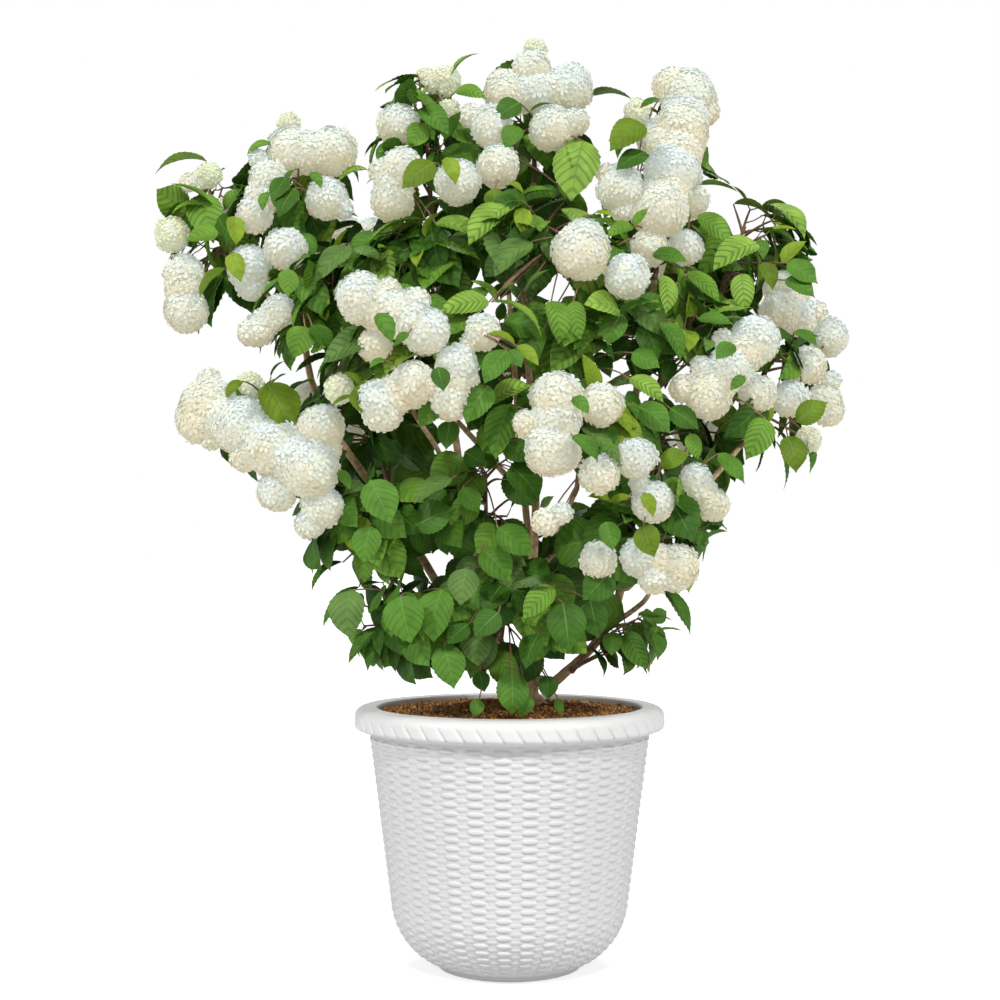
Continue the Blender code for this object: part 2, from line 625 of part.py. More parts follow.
def stem_path(mass, paths, trees):
    """The mass's own stem: from its seat on the limb, along the limb's way and on into its space."""
    centre = Vector(mass.centre)
    seat, way = seat_on(paths[mass.limb], trees[mass.limb], mass.share, centre, TWIG_FOOT_RADIUS)
    top = centre + UP * mass.radii[2] * 0.35
    collar = seat + way * 0.012
    return [seat, *bent_path(collar, top, 0.05, 2)]


def shoot_from(stem, share, end):
    """A straight shoot's path from the stem to its end, and a foot radius that stays inside the stem."""
    start, _ = point_along(stem, share)
    radius = TWIG_FOOT_RADIUS + (TWIG_TIP_RADIUS - TWIG_FOOT_RADIUS) * share
    return [start, end], radius * SHOOT_RADIUS_SHARE


def spread_directions(mass, rng):
    """Directions spread by the golden angle, without the lowest, leaning out from the crown's middle."""
    phase = rng.uniform(0, math.tau)
    outward = Vector((mass.centre[0], mass.centre[1], 0)).normalized()
    for i in range(mass.shoots):
        rise = 0.92 - 1.6 * i / max(1, mass.shoots - 1)
        flat = math.sqrt(1 - rise * rise)
        turn = phase + i * GOLDEN_ANGLE
        even = Vector((flat * math.cos(turn), flat * math.sin(turn), rise))
        yield (even + outward * OUTWARD_LEAN).normalized()


def flower_shoot(flowers, stem):
    """The shoot that carries a row of heads, from the stem to the row's start and on to its end."""
    places = head_places(flowers)
    fall = depth_below_tip(stem, places[0])
    share = min((0.35, 0.5, 0.65, 0.8, 0.95),
                key=lambda s: (point_along(stem, s)[0] - places[0]).length + 0.3 * s * fall)
    path, radius = shoot_from(stem, share, places[0])
    return path + places[1:], radius


def depth_below_tip(stem, place):
    """How far a place is below the stem's tip: a low row leaves the stem low."""
    return max(0, stem[-1].z - place.z)


class Occupied:
    """The space already taken: search trees over closed meshes, each with its owner."""

    def __init__(self):
        self.trees = []

    def add(self, owner, mesh):
        self.trees.append((owner, tree_of([mesh])))

    def touched_by(self, mesh, gap, allowed=()):
        """Whether a mesh meets what isn't the allowed owners', or has a corner within the gap of it."""
        own = tree_of([mesh])
        return any(owner not in allowed and (tree.overlap(own) or any(tree.find_nearest(v.co, gap)[0]
                                                                      for v in mesh.vertices))
                   for owner, tree in self.trees)


def make_woody_pieces(mass, paths, trees, collection, rng):
    """A mass's stem path, its stem's mesh, and the meshes of its flower shoots and their heads."""
    stem = stem_path(mass, paths, trees)
    stem_mesh = twig_mesh(stem, TWIG_FOOT_RADIUS, TWIG_TIP_RADIUS, collection)
    others = []
    for flowers in mass.flowers:
        shoot, radius = flower_shoot(flowers, stem)
        others.append(twig_mesh(shoot, radius, TWIG_TIP_RADIUS * 0.8, collection))
        others += [head_mesh(place, flowers.radius, rng) for place in head_places(flowers)]
    return stem, stem_mesh, others


def free_leaf(mass, place, along, side, taken, own, allowed, rng):
    """A leaf that stays in the mass's space and clear of all other pieces, or None after a few tries."""
    full_size = rng.uniform(0.90, 1.08)
    for attempt in range(LEAF_TRIES):
        size = full_size * (1 - LEAF_SHRINK * attempt)
        jitter = random_vector(rng) * (0.15 + 0.08 * attempt)
        axes = leaf_axes(place, along, side, mass.droop, jitter)
        leaf = leaf_mesh(place, axes, size)
        if any(depth_in(mass, v.co) > LEAF_REACH for v in leaf.vertices):
            continue
        if own.touched_by(leaf, 0, allowed):
            continue
        if not taken.touched_by(leaf, TWIG_CLEARANCE, (mass.name,)):
            return leaf
    return None


def free_shoot(mass, stem, direction, taken, own, collection, rng):
    """A leafy shoot that aims one way from the stem and stays clear of all other pieces, or None."""
    centre, radii = Vector(mass.centre), Vector(mass.radii)
    for attempt in range(SHOOT_TRIES):
        aim = (direction + random_vector(rng) * 0.12 * attempt).normalized()
        share = min(0.92, max(0.30, 0.62 + 0.28 * aim.z + rng.uniform(-0.08, 0.08)))
        path, radius = shoot_from(stem, share, centre + radii * aim * SHOOT_REACH)
        twig = twig_mesh(path, radius, TWIG_TIP_RADIUS * 0.8, collection)
        if own.touched_by(twig, 0, ("stem",)):
            continue
        if not taken.touched_by(twig, TWIG_CLEARANCE, (mass.name,)):
            return path, twig
    return None, None


def outlier_shoot(stem, base, tip, collection):
    """A straight shoot to an outlying leaf's base, and that leaf, as long as from its base to its tip."""
    share = min((0.5, 0.65, 0.8, 0.92), key=lambda s: (point_along(stem, s)[0] - base).length)
    path, radius = shoot_from(stem, share, base)
    midrib = (tip - base).normalized()
    outward = Vector((base.x, base.y, 0)).normalized()
    across = (UP * 0.8 + outward * 0.6).cross(midrib).normalized()
    leaf = leaf_mesh(base, (midrib, across, midrib.cross(across)), (tip - base).length / LEAF_LENGTH)
    return path, [twig_mesh(path, radius, TWIG_TIP_RADIUS * 0.8, collection), leaf]


def make_leafy_pieces(mass, stem, woody, taken, collection, rng):
    """The mass's leafy shoots and its leaves, in opposite pairs, each pair turned from the one before."""
    own = Occupied()
    own.add("stem", woody[0])
    for i, mesh in enumerate(woody[1:]):
        own.add(f"woody {i}", mesh)
    pieces = []
    carriers = [("stem", stem, PAIRS_ON_STEM)]
    for i, (base, tip) in enumerate(mass.outliers):
        path, meshes = outlier_shoot(stem, Vector(base), Vector(tip), collection)
        if any(taken.touched_by(mesh, TWIG_CLEARANCE, (mass.name,)) for mesh in meshes):
            continue
        for mesh in meshes:
            own.add(f"outlier {i}", mesh)
            pieces.append(mesh)
        carriers.append((f"outlier {i}", path, (0.60,)))
    for i, direction in enumerate(spread_directions(mass, rng)):
        path, twig = free_shoot(mass, stem, direction, taken, own, collection, rng)
        if twig:
            own.add(f"shoot {i}", twig)
            pieces.append(twig)
            carriers.append((f"shoot {i}", path, PAIRS_ON_SHOOT))
    for carrier, path, shares in carriers:
        turn = rng.uniform(-0.4, 0.4)
        for share in shares:
            place, along = point_along(path, share)
            level = along.cross(UP).normalized()
            pair = f"{carrier} pair {share}"
            for sign in (1, -1):
                side = Matrix.Rotation(turn, 3, along) @ level * sign
                leaf = free_leaf(mass, place, along, side, taken, own, (carrier, pair), rng)
                if leaf:
                    own.add(pair, leaf)
                    pieces.append(leaf)
            turn += math.radians(65)
    return pieces


def keep_largest_shell(mesh):
    """Leaves only the shell with the most volume: loose scraps and the walls of sealed hollows go."""
    work = bmesh.new()
    work.from_mesh(mesh)
    unseen = set(work.faces)
    shells = []
    while unseen:
        front = [unseen.pop()]
        shell = []
        while front:
            face = front.pop()
            shell.append(face)
            near = {other for edge in face.edges for other in edge.link_faces} & unseen
            unseen -= near
            front += near
        shells.append(shell)
    largest = max(shells, key=shell_volume)
    scraps = [face for shell in shells if shell is not largest for face in shell]
    bmesh.ops.delete(work, geom=scraps, context="FACES")
    work.to_mesh(mesh)
    work.free()


def shell_volume(faces):
    """Signed volume inside some faces, by the tetrahedra from the origin to a fan of each face."""
    volume = 0
    for face in faces:
        corners = [vertex.co for vertex in face.verts]
        for b, c in zip(corners[1:], corners[2:]):
            volume += corners[0].dot(b.cross(c)) / 6
    return volume


def join_mass(name, stem_mesh, pieces, material, collection):
    """One solid from a mass's stem and everything on it, by one Boolean union on a collection."""
    work = bpy.data.collections.new(name + "_pieces")
    bpy.context.scene.collection.children.link(work)
    for mesh in pieces:
        work.objects.link(bpy.data.objects.new("piece", mesh))
    body = add_mesh_object(name, stem_mesh, material, collection)
    union = body.modifiers.new("union", "BOOLEAN")
    union.operation = "UNION"
    union.operand_type = "COLLECTION"
    union.collection = work
    union.solver = "MANIFOLD"
    bpy.context.view_layer.update()
    joined = bpy.data.meshes.new_from_object(body.evaluated_get(bpy.context.evaluated_depsgraph_get()))
    body.modifiers.clear()
    keep_largest_shell(joined)
    body.data = joined
    for obj in list(work.objects):
        bpy.data.objects.remove(obj)
    bpy.data.collections.remove(work)
    return body


def make_masses(limb_paths, limb_meshes, limb_trees, collection, helpers):
    foliage = plain_material("foliage", (0.10, 0.26, 0.05), 0.60)
    blossom = plain_material("blossom", (0.90, 0.89, 0.80), 0.70)
    taken = Occupied()
    for name, mesh in limb_meshes.items():
        taken.add(name, mesh)
    rngs = {mass.name: random.Random(f"{SEED} {mass.name}") for mass in MASSES}
    stems, woody_meshes = {}, {}
    for mass in MASSES:
        rng = rngs[mass.name]
        stems[mass.name], stem_mesh, others = make_woody_pieces(mass, limb_paths, limb_trees, helpers, rng)
        woody_meshes[mass.name] = [stem_mesh, *others]
        for mesh in woody_meshes[mass.name]:
            taken.add(mass.name, mesh)
    for mass in MASSES:
        stem, woody = stems[mass.name], woody_meshes[mass.name]
        leafy = make_leafy_pieces(mass, stem, woody, taken, helpers, rngs[mass.name])
        for mesh in leafy:
            taken.add(mass.name, mesh)
        material = blossom if sum(f.heads for f in mass.flowers) >= 8 else foliage
        join_mass(mass.name, woody[0], woody[1:] + leafy, material, collection)


def main():
    clear_scene()
    parts = new_collection("potted_viburnum")
    helpers = new_collection("helpers", hidden=True)
    three_sided_section(helpers)
    make_planter(parts)
    make_soil(parts)
    limb_paths, limb_meshes, limb_trees = make_limbs(parts)
    make_masses(limb_paths, limb_meshes, limb_trees, parts, helpers)


main()
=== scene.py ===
"""The looks of a potted doublefile viburnum in flower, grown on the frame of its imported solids.

The planter and the soil are remodelled with their relief. Stems and boughs get bark. Every mass of foliage is
grown again by the source's rule, with finer twigs, pleated leaves and heads made of florets.
Metres, +Z up. The origin is the middle of the planter's flat underside. The front is towards -Y.
"""

import json
import math
import random
from dataclasses import dataclass

import bpy
import numpy as np
from mathutils import Matrix, Vector, noise

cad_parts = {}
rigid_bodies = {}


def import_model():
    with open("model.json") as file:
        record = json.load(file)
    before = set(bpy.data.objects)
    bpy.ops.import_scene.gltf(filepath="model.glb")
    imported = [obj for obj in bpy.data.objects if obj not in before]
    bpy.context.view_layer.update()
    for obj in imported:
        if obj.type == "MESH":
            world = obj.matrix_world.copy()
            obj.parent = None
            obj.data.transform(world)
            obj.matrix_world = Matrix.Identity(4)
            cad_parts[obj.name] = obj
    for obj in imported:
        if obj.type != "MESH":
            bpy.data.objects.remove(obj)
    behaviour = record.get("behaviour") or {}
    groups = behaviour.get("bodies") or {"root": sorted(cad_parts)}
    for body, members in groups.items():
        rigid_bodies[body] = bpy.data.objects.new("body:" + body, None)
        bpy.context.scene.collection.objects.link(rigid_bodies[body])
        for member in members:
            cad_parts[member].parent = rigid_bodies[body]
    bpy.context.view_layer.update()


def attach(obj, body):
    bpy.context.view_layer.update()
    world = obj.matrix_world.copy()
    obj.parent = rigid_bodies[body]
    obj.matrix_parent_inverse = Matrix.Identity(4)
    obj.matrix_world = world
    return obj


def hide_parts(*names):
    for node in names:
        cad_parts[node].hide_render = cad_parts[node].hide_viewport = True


# Driving sizes of the planter, the soil and the root crown, as in the source
RIM_RADIUS = 0.200
RIM_TOP = 0.333
RIM_SKIRT = 0.306
RIM_UNDERSIDE = 0.3005
RIM_ROLL = 0.012
MOUTH_RADIUS = 0.170
WALL_TOP_RADIUS = 0.180
CORNER_TOP_RADIUS = 0.151
CORNER_TOP = 0.078
CORNER_RADIUS = 0.090
FOOT_RADIUS = 0.092
SOIL_EDGE = 0.322
SOIL_TOP = 0.336
SOIL_FLAT_RADIUS = 0.050
ROOT_CROWN_X = 0.020
ROOT_CROWN_TOP = 0.386
ROOT_FLARE_RADIUS = 0.030

# The fine unevenness of every material
MOTTLE_DETAIL = 3.0
MOTTLE_STOPS = (0.30, 0.70)
BUMP_DISTANCE = 0.001

# The planter's woven relief and its rope-like rim
WEAVE_PERIODS = 32
WEAVE_PITCH = 0.0109
WEAVE_DEPTH = 0.0021
WEAVE_START = (0.28, 0.27)
WEAVE_ROWS = (0.0, 0.20, 0.245, 0.29, 0.36, 0.50, 0.70, 0.745, 0.79, 0.86)
WEAVE_BASE = 0.35
BAR_RISE = 0.42
BAR_EDGE = (0.09, 0.14)
# Of the strands that show over a stake, and of those between: shift in periods, height, half-length
STRANDS = ((0.0, 1.0, 0.31), (0.5, 0.68, 0.22))
STRAND_HALF_HEIGHT = (0.12, 0.17)
STRAND_EDGES = ((0.0, 0.17), (0.83, 1.0))
WALL_COLUMNS = 320
CORNER_STEPS = 24
# Where the weave fades in under the rim and out above the foot, and the least gap to either end
TOP_FADE = (0, 0.002)
FOOT_FADE = (0.013, 0.009)
ROW_GAP = 0.0002
RIM_ROW_SPACING = 0.0024
RIM_GROOVES = 52
GROOVE_PHASES = (0.0, 0.045, 0.10, 0.22, 0.40, 0.60, 0.80, 0.955)
GROOVE_DEPTH = 0.0024
GROOVE_SLANT = 0.70
GROOVE_WIDTH = 0.05
ROPE_RISE = (0.45, 0.25)
# The grooves start outside the mouth, and come in over these shares of the outer face and these insets
GROOVES_OUTSIDE = 0.010
GROOVE_FACE = (0.22, 0.75)
GROOVE_INSETS = (0.012, 0.003)
# Profiles of the rim inside its roll and below it, and of the foot, by radius and height
RIM_INSIDE = ((MOUTH_RADIUS, SOIL_EDGE - 0.006), (MOUTH_RADIUS, RIM_TOP - 0.002),
              (MOUTH_RADIUS + 0.0008, RIM_TOP - 0.0007), (MOUTH_RADIUS + 0.003, RIM_TOP))
RIM_OUTSIDE = ((RIM_RADIUS - 0.0002, RIM_SKIRT + 0.004), (RIM_RADIUS - 0.0008, RIM_SKIRT + 0.0012),
               (RIM_RADIUS - 0.0025, RIM_SKIRT), (WALL_TOP_RADIUS, RIM_UNDERSIDE))
FOOT_PROFILE = ((FOOT_RADIUS, 0.0012), (FOOT_RADIUS - 0.0012, 0), (FOOT_RADIUS - 0.006, 0),
                (FOOT_RADIUS - 0.007, 0.002), (0.030, 0.002), (0.029, 0.0008), (0.0005, 0.0008))

# The soil: its grid, its height by radius, how much higher it is in an outer ring, and how often and how
# deeply it is rough
SOIL_GRID = (60, 220)
SOIL_HEAP = ((SOIL_FLAT_RADIUS, SOIL_TOP), (SOIL_FLAT_RADIUS + 0.03, SOIL_TOP - 0.003),
             (0.130, SOIL_EDGE + 0.003), (MOUTH_RADIUS, SOIL_EDGE))
SOIL_EXTRA = 0.0035
SOIL_EXTRA_RADII = (0.08, 0.14)
SOIL_DIP = 0.0015
SOIL_ROUGHNESS = ((90, 0.0018), (320, 0.0011))
# Each tone of the soil: its colour, roughness, mottle and bump
SOIL_TONES = (
    ("soil_dark", (0.140, 0.060, 0.014), 0.95, 0.35, 0.6),
    ("soil_brown", (0.340, 0.150, 0.032), 0.95, 0.30, 0.5),
    ("soil_red_brown", (0.500, 0.220, 0.045), 0.90, 0.25, 0.5),
    ("soil_pale", (0.62, 0.52, 0.40), 0.85, 0.15, 0.3),
)
CRUMBS = 5200
CRUMB_SIZES = (0.0009, 0.0024)
BIG_CRUMB_SHARE = 0.12
BIG_CRUMB_TIMES = 1.5
PALE_CRUMB_SHARE = 0.03

# Driving sizes of the growth, as in the source
COLLAR_SHARE = 2.0
TWIG_FOOT_RADIUS = 0.0034
TWIG_TIP_RADIUS = 0.0020
SHOOT_REACH = 0.62
OUTWARD_LEAN = 0.45
SEED = 11
GOLDEN_ANGLE = math.pi * (3 - math.sqrt(5))
ROOT_SECTIONS = ((0, 1.05), (0.10, 0.86), (0.30, 0.62), (0.60, 0.56), (0.85, 0.55), (1.0, 0.40))
ROOT_DEPTH = 0.006
ROOT_LEAN = 0.004
UP = Vector((0, 0, 1))

# The wood, finer than in the source
LIMB_SIDES = 14
LIMB_RING_SPACING = 0.006
BARK_RELIEF = 0.09
BARK_FLARE = 0.35
# The bark's furrows and knots: how often they come around and along a limb, and their shift from limb to limb
FURROWS = (2.2, 28, 7)
KNOTS = (3, 140, 3)
KNOT_SHARE = 0.7
MASS_COLLAR = 0.012
MASS_STEM_REACH = 0.35
TWIG_SIDES = 6
PETIOLE_SIDES = 4
PETIOLE_RADIUS = 0.0009
SHOOT_FOOT_RADIUS = 0.0021
SHOOT_TIP_RADIUS = 0.0012

# The shoots of a mass: how many times as many as in the source, and where they and their leaves go
SHOOTS_TIMES = 4
LOW_DROOP = 0.8
PAIRS_ON_SHOOT = (0.97, 0.72, 0.46)
PAIR_TURN = math.radians(80)
REACH_SPREAD = (0.72, 1.22)
HIGHEST_AIM = 0.92
AIM_RANGE = 1.6
# The shares of a mass's stem that shoots with heads and shoots to outliers may grow from
FLOWER_SEATS = (0.35, 0.5, 0.65, 0.8, 0.95)
OUTLIER_SEATS = (0.5, 0.65, 0.8, 0.92)
SHOOT_SEATS = (0.12, 0.96)
SHOOT_SEAT_SPREAD = 0.28
HEIGHT_WEIGHT = 0.3

# The leaves
LEAF_REACH = 1.28
LEAF_CLEARANCE = 0.013
LOW_LEAF_CLEARANCE = 0.019
LIMB_CLEARANCE = 0.004
SOIL_CLEARANCE = 0.004
# Where a leaf is tested, along and across its midrib, and how often another stance is tried
LEAF_SAMPLES = np.array([(0.3, 0), (0.6, 0), (0.95, 0), (0.5, 0.32), (0.5, -0.32)])
LEAF_ATTEMPTS = 5
LEAF_JITTER = 0.28
ADDED_JITTER = 0.10
PETIOLE_SHARES = (0.18, 0.34)
# A placed leaf's stance, when it stands upright or lies, its unevenness, how much nearer its tip is, in mm,
# and up to what length its stalk is green
UPRIGHT_FACE = (0, -0.75, 0.55)
LYING_FACE = (0, -0.5, 0.8)
PLACED_JITTER = 0.38
TIP_NEARER = 5
GREEN_STALK = 0.035
LEAF_LENGTHS = (0.050, 0.080)
LOW_LEAF_LENGTHS = (0.042, 0.062)
YOUNG_LEAF_LENGTHS = (0.026, 0.044)
VEINS = (10, 11, 5)
VEIN_SHARES = (0.32, 0.36, 0.30)
# How far the narrow strips of broad and budding leaves go towards the darker green, a softer painted shade
SOFT_VEIN_SHADE = 0.70
VEIN_SWEEP = 0.95
LEAF_COLUMNS = (-1.0, -0.60, -0.035, 0.035, 0.60, 1.0)
# Every kind of leaf comes in a few forms, which differ by these in width, fold and arch
LEAF_FORMS = 8
FORM_SPREAD = (0.06, 0.09, 0.38)
OUTLINE_AT = (0, 0.04, 0.12, 0.25, 0.40, 0.55, 0.70, 0.82, 0.90, 0.95, 1.0)
OUTLINE_WIDTH = (0.03, 0.34, 0.68, 0.92, 1.0, 0.93, 0.72, 0.44, 0.20, 0.09, 0.01)

# The flower heads
FLORET_CUP = 0.12
FLORET_CUP_SPREAD = 0.06
FLORET_DROOP = 0.12
FLORET_RADIUS = 0.0082
FLORET_SPACING = 0.0082
FLORET_PACKING = 0.87
FLORET_SEAT = 0.93
FLORET_UNEVEN = 0.025
FLORET_TILT = 0.12
FLORET_SIZES = (0.85, 1.15)
YOUNG_FLORET_SIZE = 0.72
HIDDEN_SHARE = 0.82
CORE_SIZE = 0.90
HEAD_SHARE = 0.94
HEAD_FULLNESS = 1.02
HEAD_LUMPS = 0.17
LUMPS_AROUND = 1.7
BRIDGE_SIZE = 0.90
HEAD_JITTER = 0.20
BACK_HEAD_JITTER = 1.50
JITTER_STEP = Vector((7.3, 3.1, 5.7))
JITTER_OFTEN = 90
MOST_GROWTH = 0.6
YOUNG_HEAD_RADIUS = 0.020
BUD_SHARE = 0.45
BUD_SIZES = (0.0022, 0.0032)

# The heights between which the greens change, and the Y from which growth faces the back
TONE_FOOT = 0.42
TONE_HEIGHT = 0.70
TONE_KEPT = 0.70
BACK_Y = 0.08
# The X up to which a mass is on the left side, and from which it is on the right
LEFT_X = -0.15
RIGHT_X = 0.12
# How much of a head and of a placed leaf nothing else may stand before, as a share of its size
SHOWN_HEAD = 0.90
SHOWN_LEAF = 0.36

# The front view: where it is seen from, and how far the crown reaches there from its middle, in mm, every
# five degrees anticlockwise from the right, at the depth of the planter's axis
EYE = Vector((-0.0123, -2.2, 0.541))
OUTLINE_MIDDLE = (-0.0143, 0.7555)
CROWN_OUTLINE = (443, 454, 452, 442, 443, 462, 452, 425, 399, 391, 460, 481, 478, 424, 424, 425, 422, 448,
                 408, 432, 430, 422, 421, 402, 332, 402, 446, 445, 430, 516, 528, 486, 471, 450, 443, 287,
                 411, 422, 419, 377, 358, 346, 344, 321, 325, 355, 367, 390, 402, 416, 445, 439, 430, 424,
                 421, 424, 430, 439, 452, 465, 422, 411, 391, 369, 352, 354, 368, 343, 391, 420, 434, 447)
OUTLINE_STEP = 5
# Openings that show the sky there: the middle's x and z, then half the width and half the height, in mm
SKY_GAPS = ((124, 1105, 27, 26), (304, 960, 31, 21), (261, 992, 10, 18), (-212, 995, 8, 8), (72, 882, 11, 7),
            (-31, 832, 10, 7), (14, 767, 10, 10), (14, 736, 13, 6), (35, 652, 7, 14), (-18, 632, 14, 8),
            (-21, 589, 17, 12), (12, 576, 18, 9), (39, 558, 11, 10), (72, 611, 8, 14), (-204, 684, 8, 8),
            (-216, 525, 9, 7), (0, 423, 12, 15), (52, 386, 10, 8), (187, 480, 17, 8), (222, 671, 8, 10),
            (222, 835, 10, 8), (131, 782, 15, 6), (151, 810, 12, 9), (224, 740, 8, 17), (107, 984, 7, 7),
            (-183, 962, 7, 8), (224, 889, 7, 6), (-187, 430, 12, 8), (79, 356, 8, 12), (-58, 352, 13, 7),
            (164, 454, 10, 10), (142, 428, 8, 8))
GAP_TIMES = 1.3
GAP_EXTRA = 0.004

# The studio
SKY_LIGHT = 0.39
# How much more the floor glows towards the camera, and how much it glows everywhere
FLOOR_GLOW = (0.37, 0.25)
FLOOR_REACH = 40
FLOOR_DROP = 0.0005
LIGHT_DISTANCE = 3
WHITE_LIGHT = (1.0, 1.0, 1.0)
SUN_LIGHT = (1.0, 0.99, 0.97)
# Each light's degrees round from the front and up from level, strength, spread in degrees and colour
LIGHTS = (
    ("left", -52, 34, 1.22, 4, SUN_LIGHT),
    ("front", 0, 44, 1.00, 4, SUN_LIGHT),
    ("low", 0, 14, 0.16, 12, WHITE_LIGHT),
    ("right", 48, 34, 1.17, 4, SUN_LIGHT),
    ("back", 175, 45, 1.0, 20, WHITE_LIGHT),
)
LENS = 60.9
SENSOR_WIDTH = 36
AIM_HEIGHT = 0.5995


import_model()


@dataclass(frozen=True)
class Limb:
    """A stem or bough: it leaves its parent at a share of its length and runs through its way points."""

    name: str
    parent: str
    share: float
    way: tuple
    foot_radius: float
    tip_radius: float


@dataclass(frozen=True)
class Flowers:
    """Snowball heads of one radius, set evenly on a shoot from start to end."""

    heads: int
    radius: float
    start: tuple
    end: tuple = None


@dataclass(frozen=True)
class Mass:
    """A mass of foliage in an ellipsoid, on its bough's tip or, where share is given, on a stem's side.

    Its outliers are the leaves that reach past the ellipsoid, each by its base and its tip. Its lumps and
    leaves are what the front view shows besides, by rows in mm: the x, z, radius and y of a ball of florets,
    and the x and z of a leaf's base and tip, its y, kind and green."""

    name: str
    limb: str
    centre: tuple
    radii: tuple
    shoots: int
    droop: float
    share: float = 1.0
    flowers: tuple = ()
    outliers: tuple = ()
    lumps: tuple = ()
    leaves: tuple = ()


# Each green's broad and narrow strips: the narrow strips' darker green is painted shade on the side of each
# pleat that faces away from the light
LEAF_TONES = (
    ("leaf_sunlit", (0.225, 0.380, 0.055), (0.104, 0.212, 0.022)),
    ("leaf_fresh", (0.138, 0.282, 0.031), (0.076, 0.182, 0.015)),
    ("leaf_mid", (0.084, 0.208, 0.022), (0.056, 0.150, 0.014)),
    ("leaf_grey", (0.112, 0.210, 0.048), (0.070, 0.142, 0.027)),
    # The deep green is painted shade, for leaves deep inside the crown and low down
    ("leaf_deep", (0.047, 0.134, 0.012), (0.034, 0.102, 0.009)),
    ("leaf_young", (0.205, 0.310, 0.022), (0.165, 0.260, 0.015)),
    ("leaf_olive", (0.120, 0.200, 0.012), (0.094, 0.162, 0.008)),
)
SUNLIT, FRESH, MID, GREY, DEEP_SHADE, YOUNG, OLIVE = range(len(LEAF_TONES))
BROAD, LONG, BUDDING = range(3)
# Of each kind of leaf: its width, fold, arch, cup, pleats and ruffle as shares of its length
LEAF_KINDS = (
    (BROAD, 0.80, 0.16, 0.75, 0.25, 0.009, 0.016),
    (LONG, 0.58, 0.20, 1.00, 0.15, 0.014, 0.008),
    (BUDDING, 0.60, 0.28, 0.60, 0.0, 0.006, 0.0),
)
FLOWER_TINTS = (
    ("petal_cool", (0.57, 0.625, 0.61)),
    ("petal_white", (0.60, 0.628, 0.555)),
    ("petal_ivory", (0.62, 0.615, 0.50)),
    ("petal_cream", (0.64, 0.595, 0.445)),
    ("petal_greenish", (0.59, 0.64, 0.45)),
    ("head_core", (0.66, 0.63, 0.49)),
)
COOL, WHITE, IVORY, CREAM, GREENISH, CORE = range(len(FLOWER_TINTS))
# Which white a floret takes: besides each head's own tint, florets facing up are painted cooler, as if lit
# from above, and those facing down creamier, as painted shade
WHITES_BY_WARMTH_AND_LIGHT = ((0.32, CREAM), (0.0, IVORY), (-0.36, WHITE))
LEAF_LOOK = {"roughness": 0.55, "bump": 0.10, "Specular_IOR_Level": 0.18}
# The petals' look, with a painted glow in their own colour
PETAL_LOOK_WITH_GLOW = {"roughness": 0.70, "mottle": 0.04, "mottle_scale": 120, "bump": 0.06, "Specular_IOR_Level": 0.3,
              "Emission_Strength": 0.25}


def metres(point):
    return tuple(value / 1000 for value in point)


def limb_row(name, parent, share, foot_radius, tip_radius, *way):
    """A limb whose way points are in mm."""
    return Limb(name, parent, share, tuple(map(metres, way)), foot_radius, tip_radius)


def mass_row(name, limb, centre, radii, *growth, flowers=(), outliers=(), **shown):
    """A mass in mm. A row of flowers is its heads, their radius, and where the first and last head are."""
    rows = tuple(Flowers(heads, radius / 1000, *map(metres, ends)) for heads, radius, *ends in flowers)
    reaching = tuple(tuple(map(metres, ends)) for ends in outliers)
    return Mass(name, limb, metres(centre), metres(radii), *growth, flowers=rows, outliers=reaching, **shown)

LIMBS = (
    limb_row("stem_left", "root_crown", 0.55, 0.0070, 0.0042,
        (-45, -34, 415), (-134, -48, 560), (-244, -45, 724), (-270, -30, 885)),
    limb_row("stem_middle", "root_crown", 0.8, 0.0064, 0.0038,
        (-22, 30, 450), (-62, -5, 626), (-92, -30, 874), (-100, -40, 965)),
    limb_row("stem_centre", "root_crown", 1.0, 0.0066, 0.0038,
        (26, 10, 450), (35, 30, 640), (20, 30, 860), (32, 0, 1015)),
    limb_row("stem_right", "root_crown", 0.6, 0.0070, 0.0042,
        (67, -12, 372), (139, -25, 470), (158, -45, 708), (186, -40, 880)),
    limb_row("stem_back", "root_crown", 0.7, 0.0064, 0.0038, (40, 60, 430), (20, 120, 620), (0, 140, 890)),
    limb_row("bough_far_left", "stem_left", 0.86, 0.0042, 0.0032, (-312, -40, 864), (-354, -50, 902)),
    limb_row("bough_low_left", "stem_left", 0.42, 0.0048, 0.0036, (-185, -90, 600), (-222, -115, 638)),
    limb_row("bough_left_skirt", "stem_left", 0.2, 0.0040, 0.0030, (-120, -75, 480), (-155, -100, 505)),
    limb_row("bough_front_left", "stem_middle", 0.36, 0.0042, 0.0032, (-85, -100, 650), (-112, -160, 694)),
    limb_row("bough_front_right", "stem_centre", 0.28, 0.0042, 0.0032, (60, -80, 560), (78, -140, 602)),
    limb_row("bough_middle", "stem_right", 0.6, 0.0036, 0.0028, (120, -100, 715), (100, -130, 748)),
    limb_row("bough_low_right", "stem_right", 0.25, 0.0042, 0.0032, (168, -75, 470), (178, -105, 496)),
    limb_row("bough_right", "stem_right", 0.33, 0.0050, 0.0036, (215, -55, 575), (290, -65, 664)),
    limb_row("bough_right_shoulder", "stem_right", 0.76, 0.0038, 0.0030, (205, -30, 815), (262, -20, 858)),
    limb_row("bough_back_left", "stem_back", 0.52, 0.0044, 0.0034, (-90, 125, 730), (-185, 105, 800)),
    limb_row("bough_back_right", "stem_back", 0.56, 0.0044, 0.0034, (90, 125, 730), (188, 95, 790)),
    limb_row("bough_back_flank_left", "stem_back", 0.28, 0.0040, 0.0032, (-70, 120, 570), (-152, 105, 610)),
    limb_row("bough_back_flank_right", "stem_back", 0.32, 0.0040, 0.0032, (90, 120, 550), (172, 100, 596)),
    limb_row("bough_back_middle", "stem_back", 0.42, 0.0038, 0.0030, (20, 185, 660), (20, 215, 700)),
    limb_row("bough_back_skirt", "stem_back", 0.1, 0.0036, 0.0028, (25, 110, 430), (30, 138, 452)),
)

